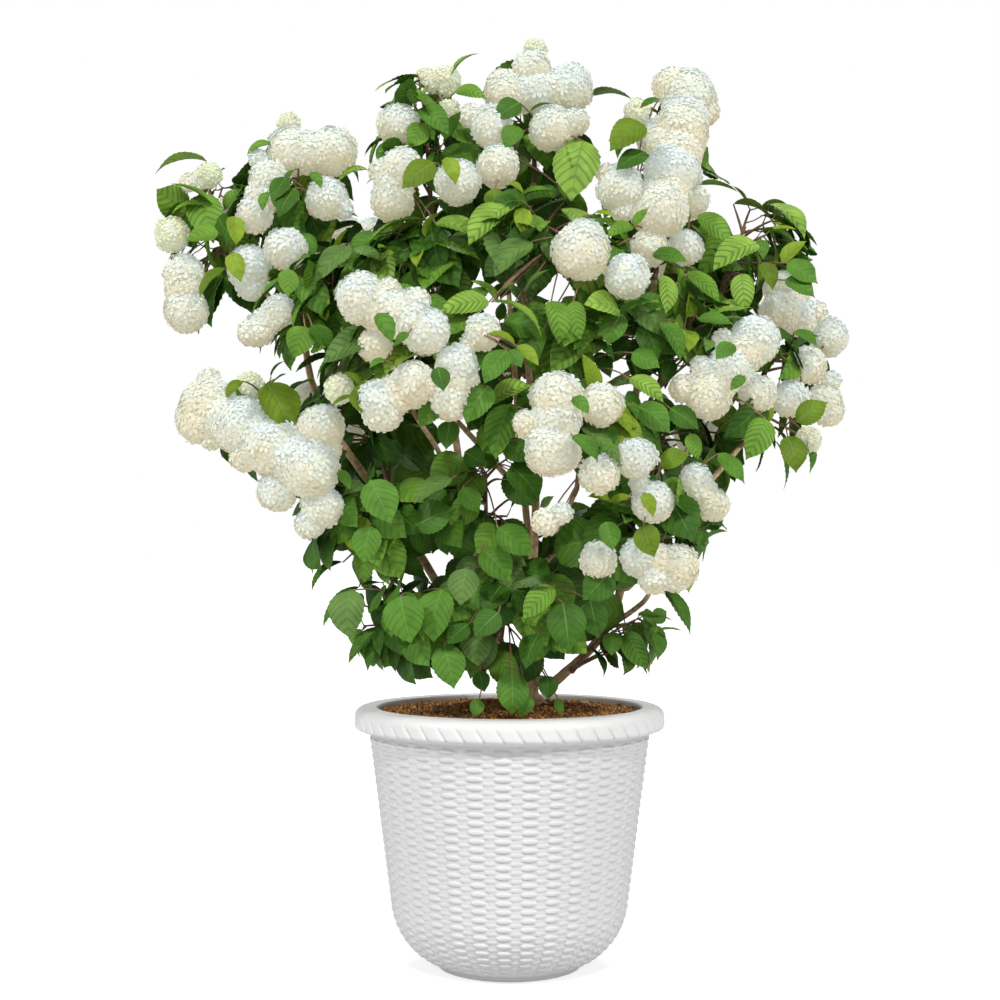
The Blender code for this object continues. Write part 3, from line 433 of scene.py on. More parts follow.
MASSES = (
    mass_row("foliage_far_left", "bough_far_left", (-380, -55, 930), (70, 80, 115), 2, 0.35,
        flowers=((2, 13, (-393, -70, 1003), (-365, -70, 966)), (1, 19, (-422, -90, 930)),
                 (2, 26, (-403, -105, 838), (-404, -105, 878)), (1, 28, (-325, -105, 882))),
        lumps=((-381, 1009, 16, -70), (-402, 832, 27, -105), (-407, 999, 11, -70), (-423, 930, 21, -90),
               (-321, 864, 19, -105)),
        outliers=(((-386, -60, 1029), (-449, -70, 1010)),),
        leaves=((-382, 964, -421, 952, -100, LONG, FRESH), (-357, 962, -335, 986, -90, LONG, FRESH),
                (-358, 925, -397, 914, -130, BROAD, FRESH), (-341, 945, -336, 908, -130, BUDDING, YOUNG),
                (-347, 879, -377, 842, -145, BROAD, OLIVE), (-341, 898, -328, 861, -140, BUDDING, YOUNG))),
    mass_row("foliage_crown_left", "stem_left", (-276, -50, 990), (78, 95, 105), 3, 0.3,
        flowers=((2, 31, (-276, -95, 1030), (-223, -95, 1030)), (2, 25, (-317, -110, 952), (-301, -110, 994)),
                 (1, 27, (-229, -120, 968)), (1, 28, (-275, -135, 905)), (1, 11, (-281, -60, 1077))),
        lumps=((-312, 1020, 11, -110), (-206, 956, 11, -120), (-281, 1076, 14, -60)),
        leaves=((-272, 989, -290, 959, -150, BROAD, DEEP_SHADE), (-296, 972, -301, 947, -145, BUDDING, MID),
                (-261, 975, -280, 937, -155, BROAD, DEEP_SHADE), (-295, 1039, -326, 1023, -110, LONG, FRESH),
                (-243, 996, -230, 975, -145, BUDDING, MID), (-254, 926, -244, 889, -120, LONG, MID))),
    mass_row("foliage_shoulder_left", "stem_left", (-225, -100, 845), (100, 95, 85), 3, 0.4, 0.72,
        flowers=((2, 21, (-280, -150, 826), (-303, -150, 803)),),
        lumps=((-315, 799, 16, -150),),
        leaves=((-265, 870, -265, 836, -190, BROAD, FRESH), (-243, 799, -255, 761, -205, BROAD, FRESH),
                (-235, 801, -214, 771, -200, BROAD, MID), (-192, 900, -233, 856, -170, BROAD, GREY),
                (-192, 895, -153, 880, -170, LONG, GREY))),
    mass_row("foliage_bough_left", "bough_low_left", (-285, -130, 685), (105, 85, 80), 3, 0.4,
        flowers=((4, 37, (-242, -195, 630), (-366, -160, 710)), (1, 31, (-229, -180, 682)),
                 (2, 27, (-225, -175, 586), (-277, -180, 608)), (1, 17, (-320, -125, 735))),
        lumps=((-374, 693, 30, -160), (-240, 567, 18, -175), (-316, 646, 18, -183), (-295, 699, 11, -172),
               (-214, 654, 11, -180), (-364, 740, 13, -160), (-359, 667, 11, -172)),
        leaves=((-290, 733, -261, 675, -190, BROAD, OLIVE), (-321, 737, -339, 716, -180, LONG, OLIVE),
                (-204, 630, -190, 606, -190, BUDDING, MID))),
    mass_row("foliage_crown_centre_left", "stem_middle", (-108, -60, 1055), (75, 90, 110), 2, 0.3,
        flowers=((2, 14, (-78, -70, 1091), (-99, -50, 1132)), (1, 26, (-136, -100, 1066)),
                 (2, 28, (-147, -140, 963), (-134, -140, 1000)), (1, 30, (-63, -140, 985))),
        lumps=((-82, 1134, 19, -50), (-108, 1141, 11, -50), (-159, 999, 13, -140), (-142, 1066, 24, -100)),
        outliers=(((-116, -70, 1134), (-169, -90, 1111)), ((-75, -50, 1130), (-40, -60, 1167))),
        leaves=((-177, 1009, -215, 991, -100, LONG, SUNLIT), (-102, 935, -172, 907, -150, LONG, FRESH),
                (-90, 930, -35, 911, -160, LONG, SUNLIT), (-91, 999, -129, 966, -185, BROAD, OLIVE),
                (-77, 1005, -65, 971, -185, BUDDING, YOUNG), (-106, 1061, -125, 1031, -120, BROAD, FRESH),
                (-68, 1113, -29, 1102, -80, LONG, FRESH))),
    mass_row("foliage_crown_top", "stem_centre", (30, -10, 1095), (88, 95, 95), 2, 0.3,
        flowers=((3, 29, (-6, -60, 1115), (78, -50, 1122)), (1, 31, (52, -105, 1062)),
                 (2, 27, (-14, -120, 1008), (-24, -105, 1062)), (1, 12, (33, -30, 1180))),
        lumps=((28, 1148, 24, -55), (82, 1068, 16, -105), (-48, 1076, 14, -105), (76, 1129, 28, -50),
               (33, 1181, 14, -30), (-8, 1126, 21, -60)),
        outliers=(((100, -20, 1121), (158, -30, 1116)), ((80, -90, 1050), (87, -130, 977))),
        leaves=((90, 1038, 75, 962, -130, BROAD, SUNLIT), (12, 1088, -18, 1065, -120, BROAD, DEEP_SHADE),
                (10, 1057, -6, 1029, -125, BROAD, MID), (25, 1077, 53, 1087, -115, BUDDING, MID),
                (-19, 975, -19, 944, -150, BROAD, OLIVE), (7, 963, 59, 974, -120, LONG, FRESH),
                (81, 968, 15, 939, -110, LONG, DEEP_SHADE))),
    mass_row("foliage_crown_right", "stem_right", (190, -60, 1010), (80, 90, 125), 2, 0.35,
        flowers=((4, 37, (186, -135, 950), (226, -80, 1105)), (1, 18, (161, -80, 1086)),
                 (1, 30, (134, -140, 976)), (2, 23, (219, -100, 912), (230, -80, 976)),
                 (1, 24, (172, -130, 905))),
        lumps=((191, 1045, 31, -98), (205, 1120, 24, -80), (244, 1088, 19, -80), (138, 951, 13, -140),
               (118, 995, 11, -140)),
        outliers=(((176, -90, 1060), (122, -120, 1040)), ((240, -50, 1000), (290, -60, 990))),
        leaves=((162, 1051, 121, 1017, -160, BROAD, OLIVE), (164, 1016, 128, 993, -165, BROAD, DEEP_SHADE),
                (184, 1090, 159, 1077, -130, BUDDING, DEEP_SHADE), (148, 923, 115, 909, -180, LONG, FRESH),
                (148, 923, 165, 943, -185, BUDDING, FRESH), (128, 900, 117, 856, -180, LONG, MID),
                (173, 895, 216, 884, -150, LONG, MID))),
    mass_row("foliage_inner_left", "stem_middle", (-110, -100, 900), (100, 90, 65), 3, 0.45, 0.78),
    mass_row("foliage_inner_right", "stem_right", (225, -110, 800), (75, 85, 70), 3, 0.55, 0.7,
        leaves=((183, 862, 184, 815, -190, LONG, SUNLIT), (226, 813, 268, 805, -170, LONG, MID),
                (179, 807, 202, 759, -185, LONG, MID), (160, 808, 177, 762, -175, BROAD, DEEP_SHADE),
                (192, 705, 226, 679, -170, BROAD, DEEP_SHADE), (154, 742, 114, 729, -150, LONG, FRESH),
                (148, 791, 122, 761, -140, LONG, DEEP_SHADE), (106, 777, 123, 745, -130, LONG, MID))),
    mass_row("foliage_upper_middle", "stem_centre", (45, -120, 915), (105, 105, 75), 3, 0.4, 0.72,
        flowers=((1, 36, (86, -210, 886)), (1, 28, (138, -195, 860))),
        lumps=((87, 900, 26, -210),),
        leaves=((25, 901, -18, 858, -200, BROAD, GREY), (-22, 824, 36, 781, -235, LONG, SUNLIT),
                (-25, 825, -84, 811, -230, LONG, SUNLIT), (-18, 828, 13, 849, -225, LONG, FRESH),
                (17, 838, 48, 864, -220, LONG, GREY), (48, 828, 56, 776, -215, LONG, FRESH),
                (74, 828, 83, 781, -215, LONG, FRESH), (-7, 810, 33, 786, -195, BROAD, MID),
                (40, 797, 28, 745, -200, LONG, MID), (-15, 830, -48, 855, -190, LONG, FRESH),
                (-7, 854, 12, 829, -180, LONG, GREY))),
    mass_row("foliage_shoulder_right", "bough_right_shoulder", (305, -20, 925), (100, 95, 80), 3, 0.45,
        outliers=(((290, -20, 982), (339, -30, 956)), ((348, -10, 954), (398, -20, 928))),
        leaves=((234, 950, 275, 913, -110, LONG, FRESH), (306, 912, 250, 878, -120, LONG, SUNLIT),
                (284, 874, 289, 825, -130, LONG, SUNLIT), (218, 876, 257, 836, -130, LONG, FRESH),
                (339, 892, 369, 919, -100, BUDDING, YOUNG), (342, 889, 379, 862, -120, BROAD, MID),
                (339, 867, 374, 844, -125, BROAD, MID), (313, 891, 325, 856, -110, BUDDING, OLIVE))),
    mass_row("foliage_bough_right", "bough_right", (335, -60, 760), (95, 95, 120), 3, 0.5,
        flowers=((3, 31, (241, -160, 730), (298, -140, 788)), (2, 26, (369, -60, 831), (349, -40, 868)),
                 (2, 26, (376, -75, 768), (413, -30, 808)), (3, 25, (304, -115, 728), (397, -65, 722)),
                 (1, 17, (372, -80, 672))),
        lumps=((346, 836, 28, -60), (209, 730, 16, -160), (407, 749, 11, -65), (258, 791, 11, -150),
               (403, 710, 19, -65), (240, 719, 27, -160), (390, 837, 11, -60), (230, 757, 11, -160)),
        outliers=(((335, -60, 674), (345, -70, 611)), ((367, -70, 687), (374, -90, 630))),
        leaves=((350, 803, 378, 784, -120, BROAD, MID), (265, 779, 243, 760, -200, BROAD, MID),
                (279, 742, 261, 724, -190, BUDDING, MID), (350, 691, 387, 715, -140, BROAD, OLIVE),
                (340, 674, 349, 629, -130, BROAD, OLIVE), (307, 692, 282, 643, -170, LONG, FRESH))),
    mass_row("foliage_front_left", "bough_front_left", (-118, -200, 775), (100, 85, 90), 3, 0.45,
        flowers=((3, 31, (-96, -265, 790), (-171, -260, 823)), (1, 22, (-156, -245, 775)),
                 (2, 27, (-114, -250, 724), (-152, -250, 706)), (1, 19, (-202, -220, 725)),
                 (2, 26, (-72, -250, 710), (-62, -250, 750)), (1, 23, (-30, -240, 790))),
        lumps=((-109, 821, 15, -262), (-140, 834, 13, -262), (-47, 730, 10, -250), (-148, 694, 22, -250),
               (-48, 775, 10, -240)),
        leaves=((-150, 801, -133, 767, -305, BUDDING, MID), (-115, 780, -131, 764, -300, BUDDING, MID),
                (-83, 742, -76, 714, -290, BROAD, DEEP_SHADE), (-143, 751, -160, 740, -290, BUDDING, MID),
                (-4, 762, -30, 723, -285, BROAD, MID), (-1, 763, 12, 742, -280, BROAD, MID),
                (5, 767, -29, 781, -275, BUDDING, YOUNG), (7, 769, 32, 745, -270, BUDDING, YOUNG),
                (-181, 722, -145, 687, -250, BROAD, OLIVE), (-174, 725, -194, 741, -240, BUDDING, OLIVE),
                (-182, 714, -208, 701, -240, BUDDING, OLIVE), (-49, 807, -72, 784, -235, BROAD, FRESH),
                (-26, 724, -51, 680, -255, BROAD, MID), (-70, 687, -75, 652, -225, BROAD, DEEP_SHADE),
                (-84, 704, -105, 677, -240, BROAD, MID), (-26, 845, -59, 812, -200, LONG, MID))),
    mass_row("foliage_middle", "bough_middle", (95, -145, 800), (105, 90, 62), 4, 0.5,
        leaves=((-21, 709, 26, 727, -210, LONG, SUNLIT), (139, 735, 178, 706, -230, LONG, SUNLIT),
                (33, 727, 14, 689, -200, BROAD, DEEP_SHADE), (126, 819, 116, 777, -195, BROAD, MID),
                (145, 770, 178, 751, -190, BROAD, MID), (152, 707, 190, 673, -185, BROAD, MID),
                (93, 785, 124, 759, -185, LONG, DEEP_SHADE))),
    mass_row("foliage_front_right", "bough_front_right", (90, -190, 672), (95, 85, 78), 3, 0.5,
        flowers=((2, 35, (50, -270, 652), (54, -265, 711)), (1, 25, (103, -260, 700)),
                 (2, 24, (100, -265, 622), (146, -245, 641))),
        lumps=((40, 568, 15, -262), (58, 577, 11, -268), (18, 679, 15, -270)),
        leaves=((69, 706, 87, 687, -310, BUDDING, MID), (69, 663, 97, 633, -305, BROAD, MID),
                (97, 640, 119, 651, -300, BUDDING, MID), (0, 706, -17, 640, -225, LONG, MID),
                (-5, 662, 21, 638, -215, BROAD, MID))),
    mass_row("foliage_low_right", "bough_low_right", (165, -150, 560), (105, 85, 72), 3, 0.55,
        flowers=((1, 27, (167, -215, 592)), (2, 21, (224, -180, 621), (240, -180, 590)),
                 (1, 23, (104, -200, 523)), (2, 26, (155, -200, 527), (196, -200, 515))),
        lumps=((170, 503, 20, -200), (195, 506, 20, -200), (151, 615, 11, -215)),
        outliers=(((185, -130, 490), (219, -140, 431)),),
        leaves=((246, 649, 276, 613, -200, BROAD, MID), (175, 633, 209, 646, -230, BROAD, OLIVE),
                (151, 600, 163, 573, -265, BUDDING, YOUNG), (110, 568, 118, 534, -240, BROAD, MID),
                (154, 564, 166, 527, -240, BROAD, OLIVE), (115, 593, 89, 597, -240, BUDDING, YOUNG),
                (115, 591, 140, 597, -240, BUDDING, YOUNG), (118, 509, 85, 476, -200, BROAD, DEEP_SHADE),
                (214, 673, 224, 642, -185, LONG, FRESH))),
    mass_row("foliage_left_skirt", "bough_left_skirt", (-175, -120, 575), (85, 85, 80), 4, 0.85,
        outliers=(((-205, -120, 520), (-242, -130, 485)), ((-185, -120, 490), (-228, -130, 441))),
        leaves=((-165, 617, -140, 565, -210, BROAD, MID), (-165, 563, -172, 519, -205, BROAD, MID))),
    mass_row("foliage_left_foot", "stem_left", (-120, -115, 450), (100, 80, 70), 3, 0.9, 0.1,
        outliers=(((-160, -120, 440), (-197, -130, 396)),),
        leaves=((-130, 481, -117, 425, -200, BROAD, MID), (-191, 487, -191, 430, -175, BROAD, GREY),
                (-81, 488, -90, 426, -192, BROAD, MID))),
    mass_row("foliage_middle_front", "stem_middle", (-30, -120, 600), (85, 85, 85), 3, 0.8, 0.24,
        leaves=((0, 633, 33, 592, -210, BROAD, DEEP_SHADE), (-15, 561, 26, 527, -200, BROAD, MID),
                (-69, 620, -113, 589, -205, BROAD, GREY), (-57, 609, -38, 578, -195, BROAD, MID),
                (-112, 564, -64, 583, -190, BROAD, DEEP_SHADE), (-33, 535, 0, 497, -190, BROAD, MID),
                (-54, 651, -28, 634, -200, BROAD, DEEP_SHADE))),
    mass_row("foliage_middle_skirt", "stem_middle", (0, -105, 465), (100, 80, 95), 4, 0.9, 0.1,
        leaves=((51, 491, 15, 453, -195, LONG, FRESH), (62, 473, 69, 414, -190, BROAD, DEEP_SHADE),
                (-79, 422, -67, 370, -180, BROAD, MID), (51, 492, -5, 487, -185, LONG, GREY),
                (2, 385, 2, 335, -140, BROAD, MID), (-38, 386, -31, 361, -120, BROAD, DEEP_SHADE),
                (20, 360, 12, 331, -130, BROAD, MID), (46, 380, 47, 351, -110, BROAD, DEEP_SHADE),
                (-38, 352, -44, 332, -130, BROAD, MID), (59, 352, 62, 331, -110, LONG, MID),
                (-52, 514, -59, 469, -195, BROAD, GREY), (-14, 461, -43, 433, -190, BROAD, DEEP_SHADE),
                (96, 475, 106, 429, -170, BROAD, DEEP_SHADE), (34, 434, 19, 393, -170, BROAD, DEEP_SHADE),
                (-50, 447, -74, 423, -185, BROAD, DEEP_SHADE))),
    mass_row("foliage_right_skirt", "stem_right", (140, -50, 430), (75, 60, 50), 2, 0.8, 0.12,
        outliers=(((142, -50, 425), (170, -60, 385)),),
        leaves=((128, 433, 126, 404, -100, BROAD, MID), (145, 433, 169, 388, -100, LONG, MID))),
    mass_row("foliage_back_left", "bough_back_left", (-215, 110, 900), (100, 115, 110), 3, 0.4,
        flowers=((3, 32, (-190, 190, 960), (-275, 145, 980)), (1, 28, (-225, 210, 870))),
        lumps=((-150, 845, 20, 200),)),
    mass_row("foliage_back_top", "stem_back", (-10, 130, 1000), (115, 105, 110), 3, 0.35,
        flowers=((3, 32, (-50, 180, 1045), (45, 185, 1060)), (1, 28, (50, 215, 980))),
        lumps=((-70, 960, 20, 195),)),
    mass_row("foliage_back_right", "bough_back_right", (225, 95, 890), (100, 115, 110), 3, 0.4,
        flowers=((3, 33, (205, 190, 890), (290, 125, 945)), (1, 28, (225, 140, 985))),
        lumps=((170, 965, 22, 175),)),
    mass_row("foliage_back_flank_left", "bough_back_flank_left", (-195, 110, 695), (105, 120, 100), 3, 0.6,
        flowers=((3, 31, (-190, 205, 690), (-270, 150, 730)),),
        lumps=((-215, 620, 20, 190),)),
    mass_row("foliage_back_middle", "bough_back_middle", (10, 225, 795), (110, 95, 100), 3, 0.5,
        flowers=((3, 32, (-40, 310, 800), (50, 310, 830)),),
        lumps=((95, 770, 20, 270), (-85, 850, 18, 270))),
    mass_row("foliage_back_flank_right", "bough_back_flank_right", (220, 100, 680), (105, 115, 95), 3, 0.6,
        flowers=((3, 30, (200, 200, 670), (290, 140, 700)), (1, 27, (245, 150, 615))),
        lumps=((150, 735, 18, 175),)),
    mass_row("foliage_back_skirt", "bough_back_skirt", (20, 130, 525), (140, 95, 95), 3, 0.85),
)


class Gathered:
    """Triangles gathered from many small shapes, to become one mesh with several materials."""

    def __init__(self):
        self.points, self.faces, self.kinds = [], [], []
        self.count = 0

    def add(self, points, faces, kinds=0):
        points = np.asarray(points, float)
        self.points.append(points)
        self.faces.append(faces + self.count)
        self.kinds.append(np.broadcast_to(kinds, len(faces)))
        self.count += len(points)

    def to_object(self, name, materials, smooth=True):
        points = np.concatenate(self.points)
        faces = np.concatenate(self.faces).astype(np.int32)
        mesh = bpy.data.meshes.new(name)
        mesh.vertices.add(len(points))
        mesh.vertices.foreach_set("co", points.astype(np.float32).ravel())
        mesh.loops.add(faces.size)
        mesh.loops.foreach_set("vertex_index", faces.ravel())
        mesh.polygons.add(len(faces))
        mesh.polygons.foreach_set("loop_start", np.arange(0, faces.size, 3, dtype=np.int32))
        for material in materials:
            mesh.materials.append(material)
        mesh.polygons.foreach_set("material_index", np.concatenate(self.kinds).astype(np.int32))
        mesh.update(calc_edges=True)
        if smooth:
            mesh.shade_smooth()
        return add_object(name, mesh)


def add_object(name, data):
    obj = bpy.data.objects.new(name, data)
    bpy.context.scene.collection.objects.link(obj)
    return obj


def dress(obj, nodes):
    """Hangs a finished piece on the part's one body, in place of some of its plain solids."""
    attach(obj, "root")
    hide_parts(*nodes)


def grid_faces(rows, columns, wrap=False):
    """Triangles over a grid of points, which run column by column within each row."""
    across = columns if wrap else columns - 1
    row, column = np.meshgrid(np.arange(rows - 1), np.arange(across), indexing="ij")
    a = (row * columns + column).ravel()
    b = (row * columns + (column + 1) % columns).ravel()
    c, d = b + columns, a + columns
    return np.concatenate([np.stack([a, b, c], 1), np.stack([a, c, d], 1)])


def smooth_step(values, low, high):
    share = np.clip((values - low) / (high - low), 0, 1)
    return share * share * (3 - 2 * share)


def set_inputs(node, **values):
    """Sets a node's inputs, where an underscore stands for the space in an input's name."""
    for name, value in values.items():
        node.inputs[name.replace("_", " ")].default_value = value
    return node


def link_nodes(tree, *rows):
    """Links nodes by rows of a node, its output, the next node and that one's input."""
    for source, output, target, socket in rows:
        tree.links.new(source.outputs[output], target.inputs[socket])


def material(name, colour, roughness, mottle=0.12, mottle_scale=60.0, bump=0.15, bump_scale=400.0, **inputs):
    """A Principled material whose colour wavers between two near shades, with a fine bump."""
    made = bpy.data.materials.new(name)
    made.use_nodes = True
    made.diffuse_color = (*colour, 1)
    nodes = made.node_tree.nodes
    shader = set_inputs(nodes["Principled BSDF"], Roughness=roughness, **inputs)
    place = nodes.new("ShaderNodeTexCoord")
    cloud = set_inputs(nodes.new("ShaderNodeTexNoise"), Scale=mottle_scale, Detail=MOTTLE_DETAIL)
    ramp = nodes.new("ShaderNodeValToRGB")
    shades = (1 - mottle, 1 + mottle)
    for stop, position, shade in zip(ramp.color_ramp.elements, MOTTLE_STOPS, shades):
        stop.position = position
        stop.color = (*[min(1, value * shade) for value in colour], 1)
    grain = set_inputs(nodes.new("ShaderNodeTexNoise"), Scale=bump_scale)
    relief = set_inputs(nodes.new("ShaderNodeBump"), Strength=bump, Distance=BUMP_DISTANCE)
    link_nodes(made.node_tree,
               (place, "Object", cloud, "Vector"), (cloud, "Fac", ramp, "Fac"),
               (ramp, "Color", shader, "Base Color"), (place, "Object", grain, "Vector"),
               (grain, "Fac", relief, "Height"), (relief, "Normal", shader, "Normal"))
    return made


# The planter


def arc(centre_radius, centre_height, radius, start_deg, end_deg, steps):
    """Points of a round stretch of a profile, from one angle to another above the horizontal."""
    angles = [math.radians(start_deg + (end_deg - start_deg) * i / steps) for i in range(steps + 1)]
    return [(centre_radius + radius * math.cos(a), centre_height + radius * math.sin(a)) for a in angles]


def corner_points(steps):
    """The round bottom corner from the wall down to the foot, as in the source."""
    drop = CORNER_RADIUS - CORNER_TOP
    centre = CORNER_TOP_RADIUS - math.sqrt(CORNER_RADIUS ** 2 - drop ** 2)
    start = -math.degrees(math.asin(drop / CORNER_RADIUS))
    end = -math.degrees(math.acos((FOOT_RADIUS - centre) / CORNER_RADIUS))
    return arc(centre, CORNER_RADIUS, CORNER_RADIUS, start, end, steps)


def profile_run(profile):
    """How far along a (radius, height) profile each of its points is."""
    return np.concatenate([[0], np.cumsum(np.linalg.norm(np.diff(profile, axis=0), axis=1))])


def profile_at(profile, steps):
    """The radii and heights of a profile at given distances along it."""
    run = profile_run(profile)
    return np.interp(steps, run, np.array(profile)[:, 0]), np.interp(steps, run, np.array(profile)[:, 1])


def even_turns(columns):
    return np.arange(columns) * math.tau / columns


def add_turned(gathered, radii, heights, rise, angle):
    """Adds a turned wall pushed out, square to its profile, by a rise for each row and column."""
    slope_radius, slope_height = np.gradient(radii), np.gradient(heights)
    length = np.hypot(slope_radius, slope_height)
    out_radius, out_height = -slope_height / length, slope_radius / length
    radius = radii[:, None] + out_radius[:, None] * rise
    height = heights[:, None] + out_height[:, None] * rise
    points = np.stack([radius * np.cos(angle), radius * np.sin(angle), height], -1)
    gathered.add(points.reshape(-1, 3), grid_faces(*rise.shape, wrap=True))


def weave_rise(down, columns):
    """Height of the wicker relief: bulges of the strands over every other stake, in turn from row to row."""
    turn = np.arange(columns) / columns * WEAVE_PERIODS + WEAVE_START[0]
    row = down / WEAVE_PITCH + WEAVE_START[1]
    # The stakes show as flat upright bars between the columns of broad strands
    off_bar = np.abs(turn % 1 - 0.5)
    rise = np.tile(BAR_RISE * (1 - smooth_step(off_bar, *BAR_EDGE)), (len(down), 1))
    least, more = STRAND_HALF_HEIGHT
    lower, upper = STRAND_EDGES
    for shift, size, reach in STRANDS:
        off_stake = (turn + shift + 0.5) % 1 - 0.5
        over = np.clip(1 - (off_stake / reach) ** 4, 0, 1)[None, :]
        off_centre = ((row + shift + 0.5) % 1 - 0.5)[:, None]
        half_band = least + more * over
        # A strand is flat, with an upper edge that catches the light and a lower one that is dark
        across = np.clip((off_centre + half_band) / (2 * half_band), 0, 1)
        strand = smooth_step(across, *lower) * (1 - smooth_step(across, *upper))
        rise = np.maximum(rise, size * smooth_step(over, 0.0, 0.45) * strand)
    return (rise - WEAVE_BASE) * WEAVE_DEPTH


def make_planter():
    plastic = material("planter_plastic", (0.655, 0.655, 0.66), 0.42, mottle=0.015, bump=0.04)
    wall = [(WALL_TOP_RADIUS, RIM_UNDERSIDE), *corner_points(CORNER_STEPS)]
    length = profile_run(wall)[-1]
    periods = np.arange(0, length / WEAVE_PITCH + 1)[:, None]
    rows = (periods + np.array(WEAVE_ROWS) - WEAVE_START[1]) * WEAVE_PITCH
    down = np.concatenate([[0], rows[(rows > ROW_GAP) & (rows < length - ROW_GAP)], [length]])
    radii, heights = profile_at(wall, down)
    fade = smooth_step(down, *TOP_FADE) * (1 - smooth_step(down, *(length - rest for rest in FOOT_FADE)))
    rise = weave_rise(down, WALL_COLUMNS) * fade[:, None]
    foot_radii, foot_heights = np.array([(FOOT_RADIUS, heights[-1]), *FOOT_PROFILE]).T
    flat = np.zeros((len(foot_radii), WALL_COLUMNS))
    shell = Gathered()
    for profile in ((radii, heights, rise), (foot_radii, foot_heights, flat)):
        add_turned(shell, *profile, even_turns(WALL_COLUMNS))
    dress(shell.to_object("planter_wall", [plastic]), ["planter"])
    make_rim()


def make_rim():
    """The rolled rim: smooth on top, with slanting grooves like a rope's over its outer face."""
    # A lighter copy of the wall's plastic: painted light for the rim's brighter look where it catches the
    # light
    plastic = material("planter_rim_plastic", (0.73, 0.73, 0.735), 0.42, mottle=0.015, bump=0.03)
    roll = arc(RIM_RADIUS - RIM_ROLL, RIM_TOP - RIM_ROLL, RIM_ROLL, 90, 5, 9)
    outline = [*RIM_INSIDE, *roll, *RIM_OUTSIDE]
    length = profile_run(outline)[-1]
    radii, heights = profile_at(outline, np.linspace(0, length, round(length / RIM_ROW_SPACING) + 1))
    outer = radii > MOUTH_RADIUS + GROOVES_OUTSIDE
    face = np.where(outer, (RIM_TOP - heights) / (RIM_TOP - RIM_SKIRT), 0)
    phase = np.tile(GROOVE_PHASES, RIM_GROOVES)
    turn = np.arange(len(phase)) // len(GROOVE_PHASES) + phase
    # The columns lean with the grooves, so that each groove keeps its edge all the way down
    angle = (turn[None, :] + GROOVE_SLANT * face[:, None]) * math.tau / RIM_GROOVES
    groove = np.exp(-(np.minimum(phase, 1 - phase) / GROOVE_WIDTH) ** 2)
    outwards = smooth_step(radii, *(RIM_RADIUS - inset for inset in GROOVE_INSETS))
    depth = smooth_step(face, *GROOVE_FACE) * outwards
    slope, base = ROPE_RISE
    rise = (slope * phase - base - groove)[None, :] * GROOVE_DEPTH * depth[:, None]
    rim = Gathered()
    add_turned(rim, radii, heights, rise, angle)
    dress(rim.to_object("planter_rim", [plastic]), ["planter"])


# The soil


def soil_height(x, y):
    """Height of the soil's rough surface, heaped a little in the middle."""
    radius = math.hypot(x, y)
    heap = np.interp(radius, *zip(*SOIL_HEAP))
    rough = 0
    for layer, (often, deep) in enumerate(SOIL_ROUGHNESS):
        rough += noise.noise(Vector((x, y, layer)) * often) * deep
    return heap + SOIL_EXTRA * smooth_step(radius, *SOIL_EXTRA_RADII) - SOIL_DIP + rough


def make_soil():
    rng = random.Random(f"{SEED} soil")
    tones = [material(name, colour, roughness, mottle=mottle, mottle_scale=500, bump=bump)
             for name, colour, roughness, mottle, bump in SOIL_TONES]
    surface = Gathered()
    rings, columns = SOIL_GRID
    reach = (MOUTH_RADIUS + 0.001) * np.linspace(0.004, 1, rings)
    level = [(r * math.cos(t), r * math.sin(t)) for r in reach for t in even_turns(columns)]
    surface.add([(x, y, soil_height(x, y)) for x, y in level], grid_faces(rings, columns, wrap=True)[:, ::-1])
    dress(surface.to_object("soil_surface", tones[:1]), ["soil"])

    # A crumb is an eight-sided ball, stretched and turned at random
    ball = np.array([(1, 0, 0), (-1, 0, 0), (0, 1, 0), (0, -1, 0), (0, 0, 1), (0, 0, -1)], float)
    faces = np.array([(0, 2, 4), (2, 1, 4), (1, 3, 4), (3, 0, 4), (2, 0, 5), (1, 2, 5), (3, 1, 5), (0, 3, 5)])
    crumbs = Gathered()
    for _ in range(CRUMBS):
        radius = (MOUTH_RADIUS - 0.003) * math.sqrt(rng.random())
        angle = rng.uniform(0, math.tau)
        size = rng.uniform(*CRUMB_SIZES) * (BIG_CRUMB_TIMES if rng.random() < BIG_CRUMB_SHARE else 1)
        x, y = radius * math.cos(angle), radius * math.sin(angle)
        turn = np.array(Matrix.Rotation(rng.uniform(0, math.tau), 3, random_vector(rng)))
        stretch = np.array([rng.uniform(0.6, 1.4) for _ in range(3)])
        place = np.array([x, y, soil_height(x, y) + size * 0.4])
        kind = len(tones) - 1 if rng.random() < PALE_CRUMB_SHARE else rng.choice((0, 1, 1, 2))
        crumbs.add((ball * stretch * size) @ turn.T + place, faces, kind)
    dress(crumbs.to_object("soil_crumbs", tones, smooth=False), ["soil"])


# Limbs


def random_vector(rng):
    return Vector([rng.uniform(-1, 1) for _ in range(3)])


def smooth_path(way, spacing):
    """Points about a spacing apart on a Catmull-Rom curve through the way points."""
    points = [Vector(p) for p in way]
    before = points[0] * 2 - points[1]
    after = points[-1] * 2 - points[-2]
    padded = [before, *points, after]
    path = [points[0]]
    for a, b, c, d in zip(padded, padded[1:], padded[2:], padded[3:]):
        steps = max(1, round((c - b).length / spacing))
        for i in range(1, steps + 1):
            t = i / steps
            path.append(0.5 * (2 * b + (c - a) * t + (2 * a - 5 * b + 4 * c - d) * t * t
                               + (3 * b - a - 3 * c + d) * t ** 3))
    return path


def bent_path(start, end, lift, steps):
    """A shoot's path: a quadratic curve that bows upwards by a share of its length."""
    control = start.lerp(end, 0.5) + UP * lift * (end - start).length
    shares = [i / steps for i in range(steps + 1)]
    return [start * (1 - t) ** 2 + control * 2 * t * (1 - t) + end * t * t for t in shares]


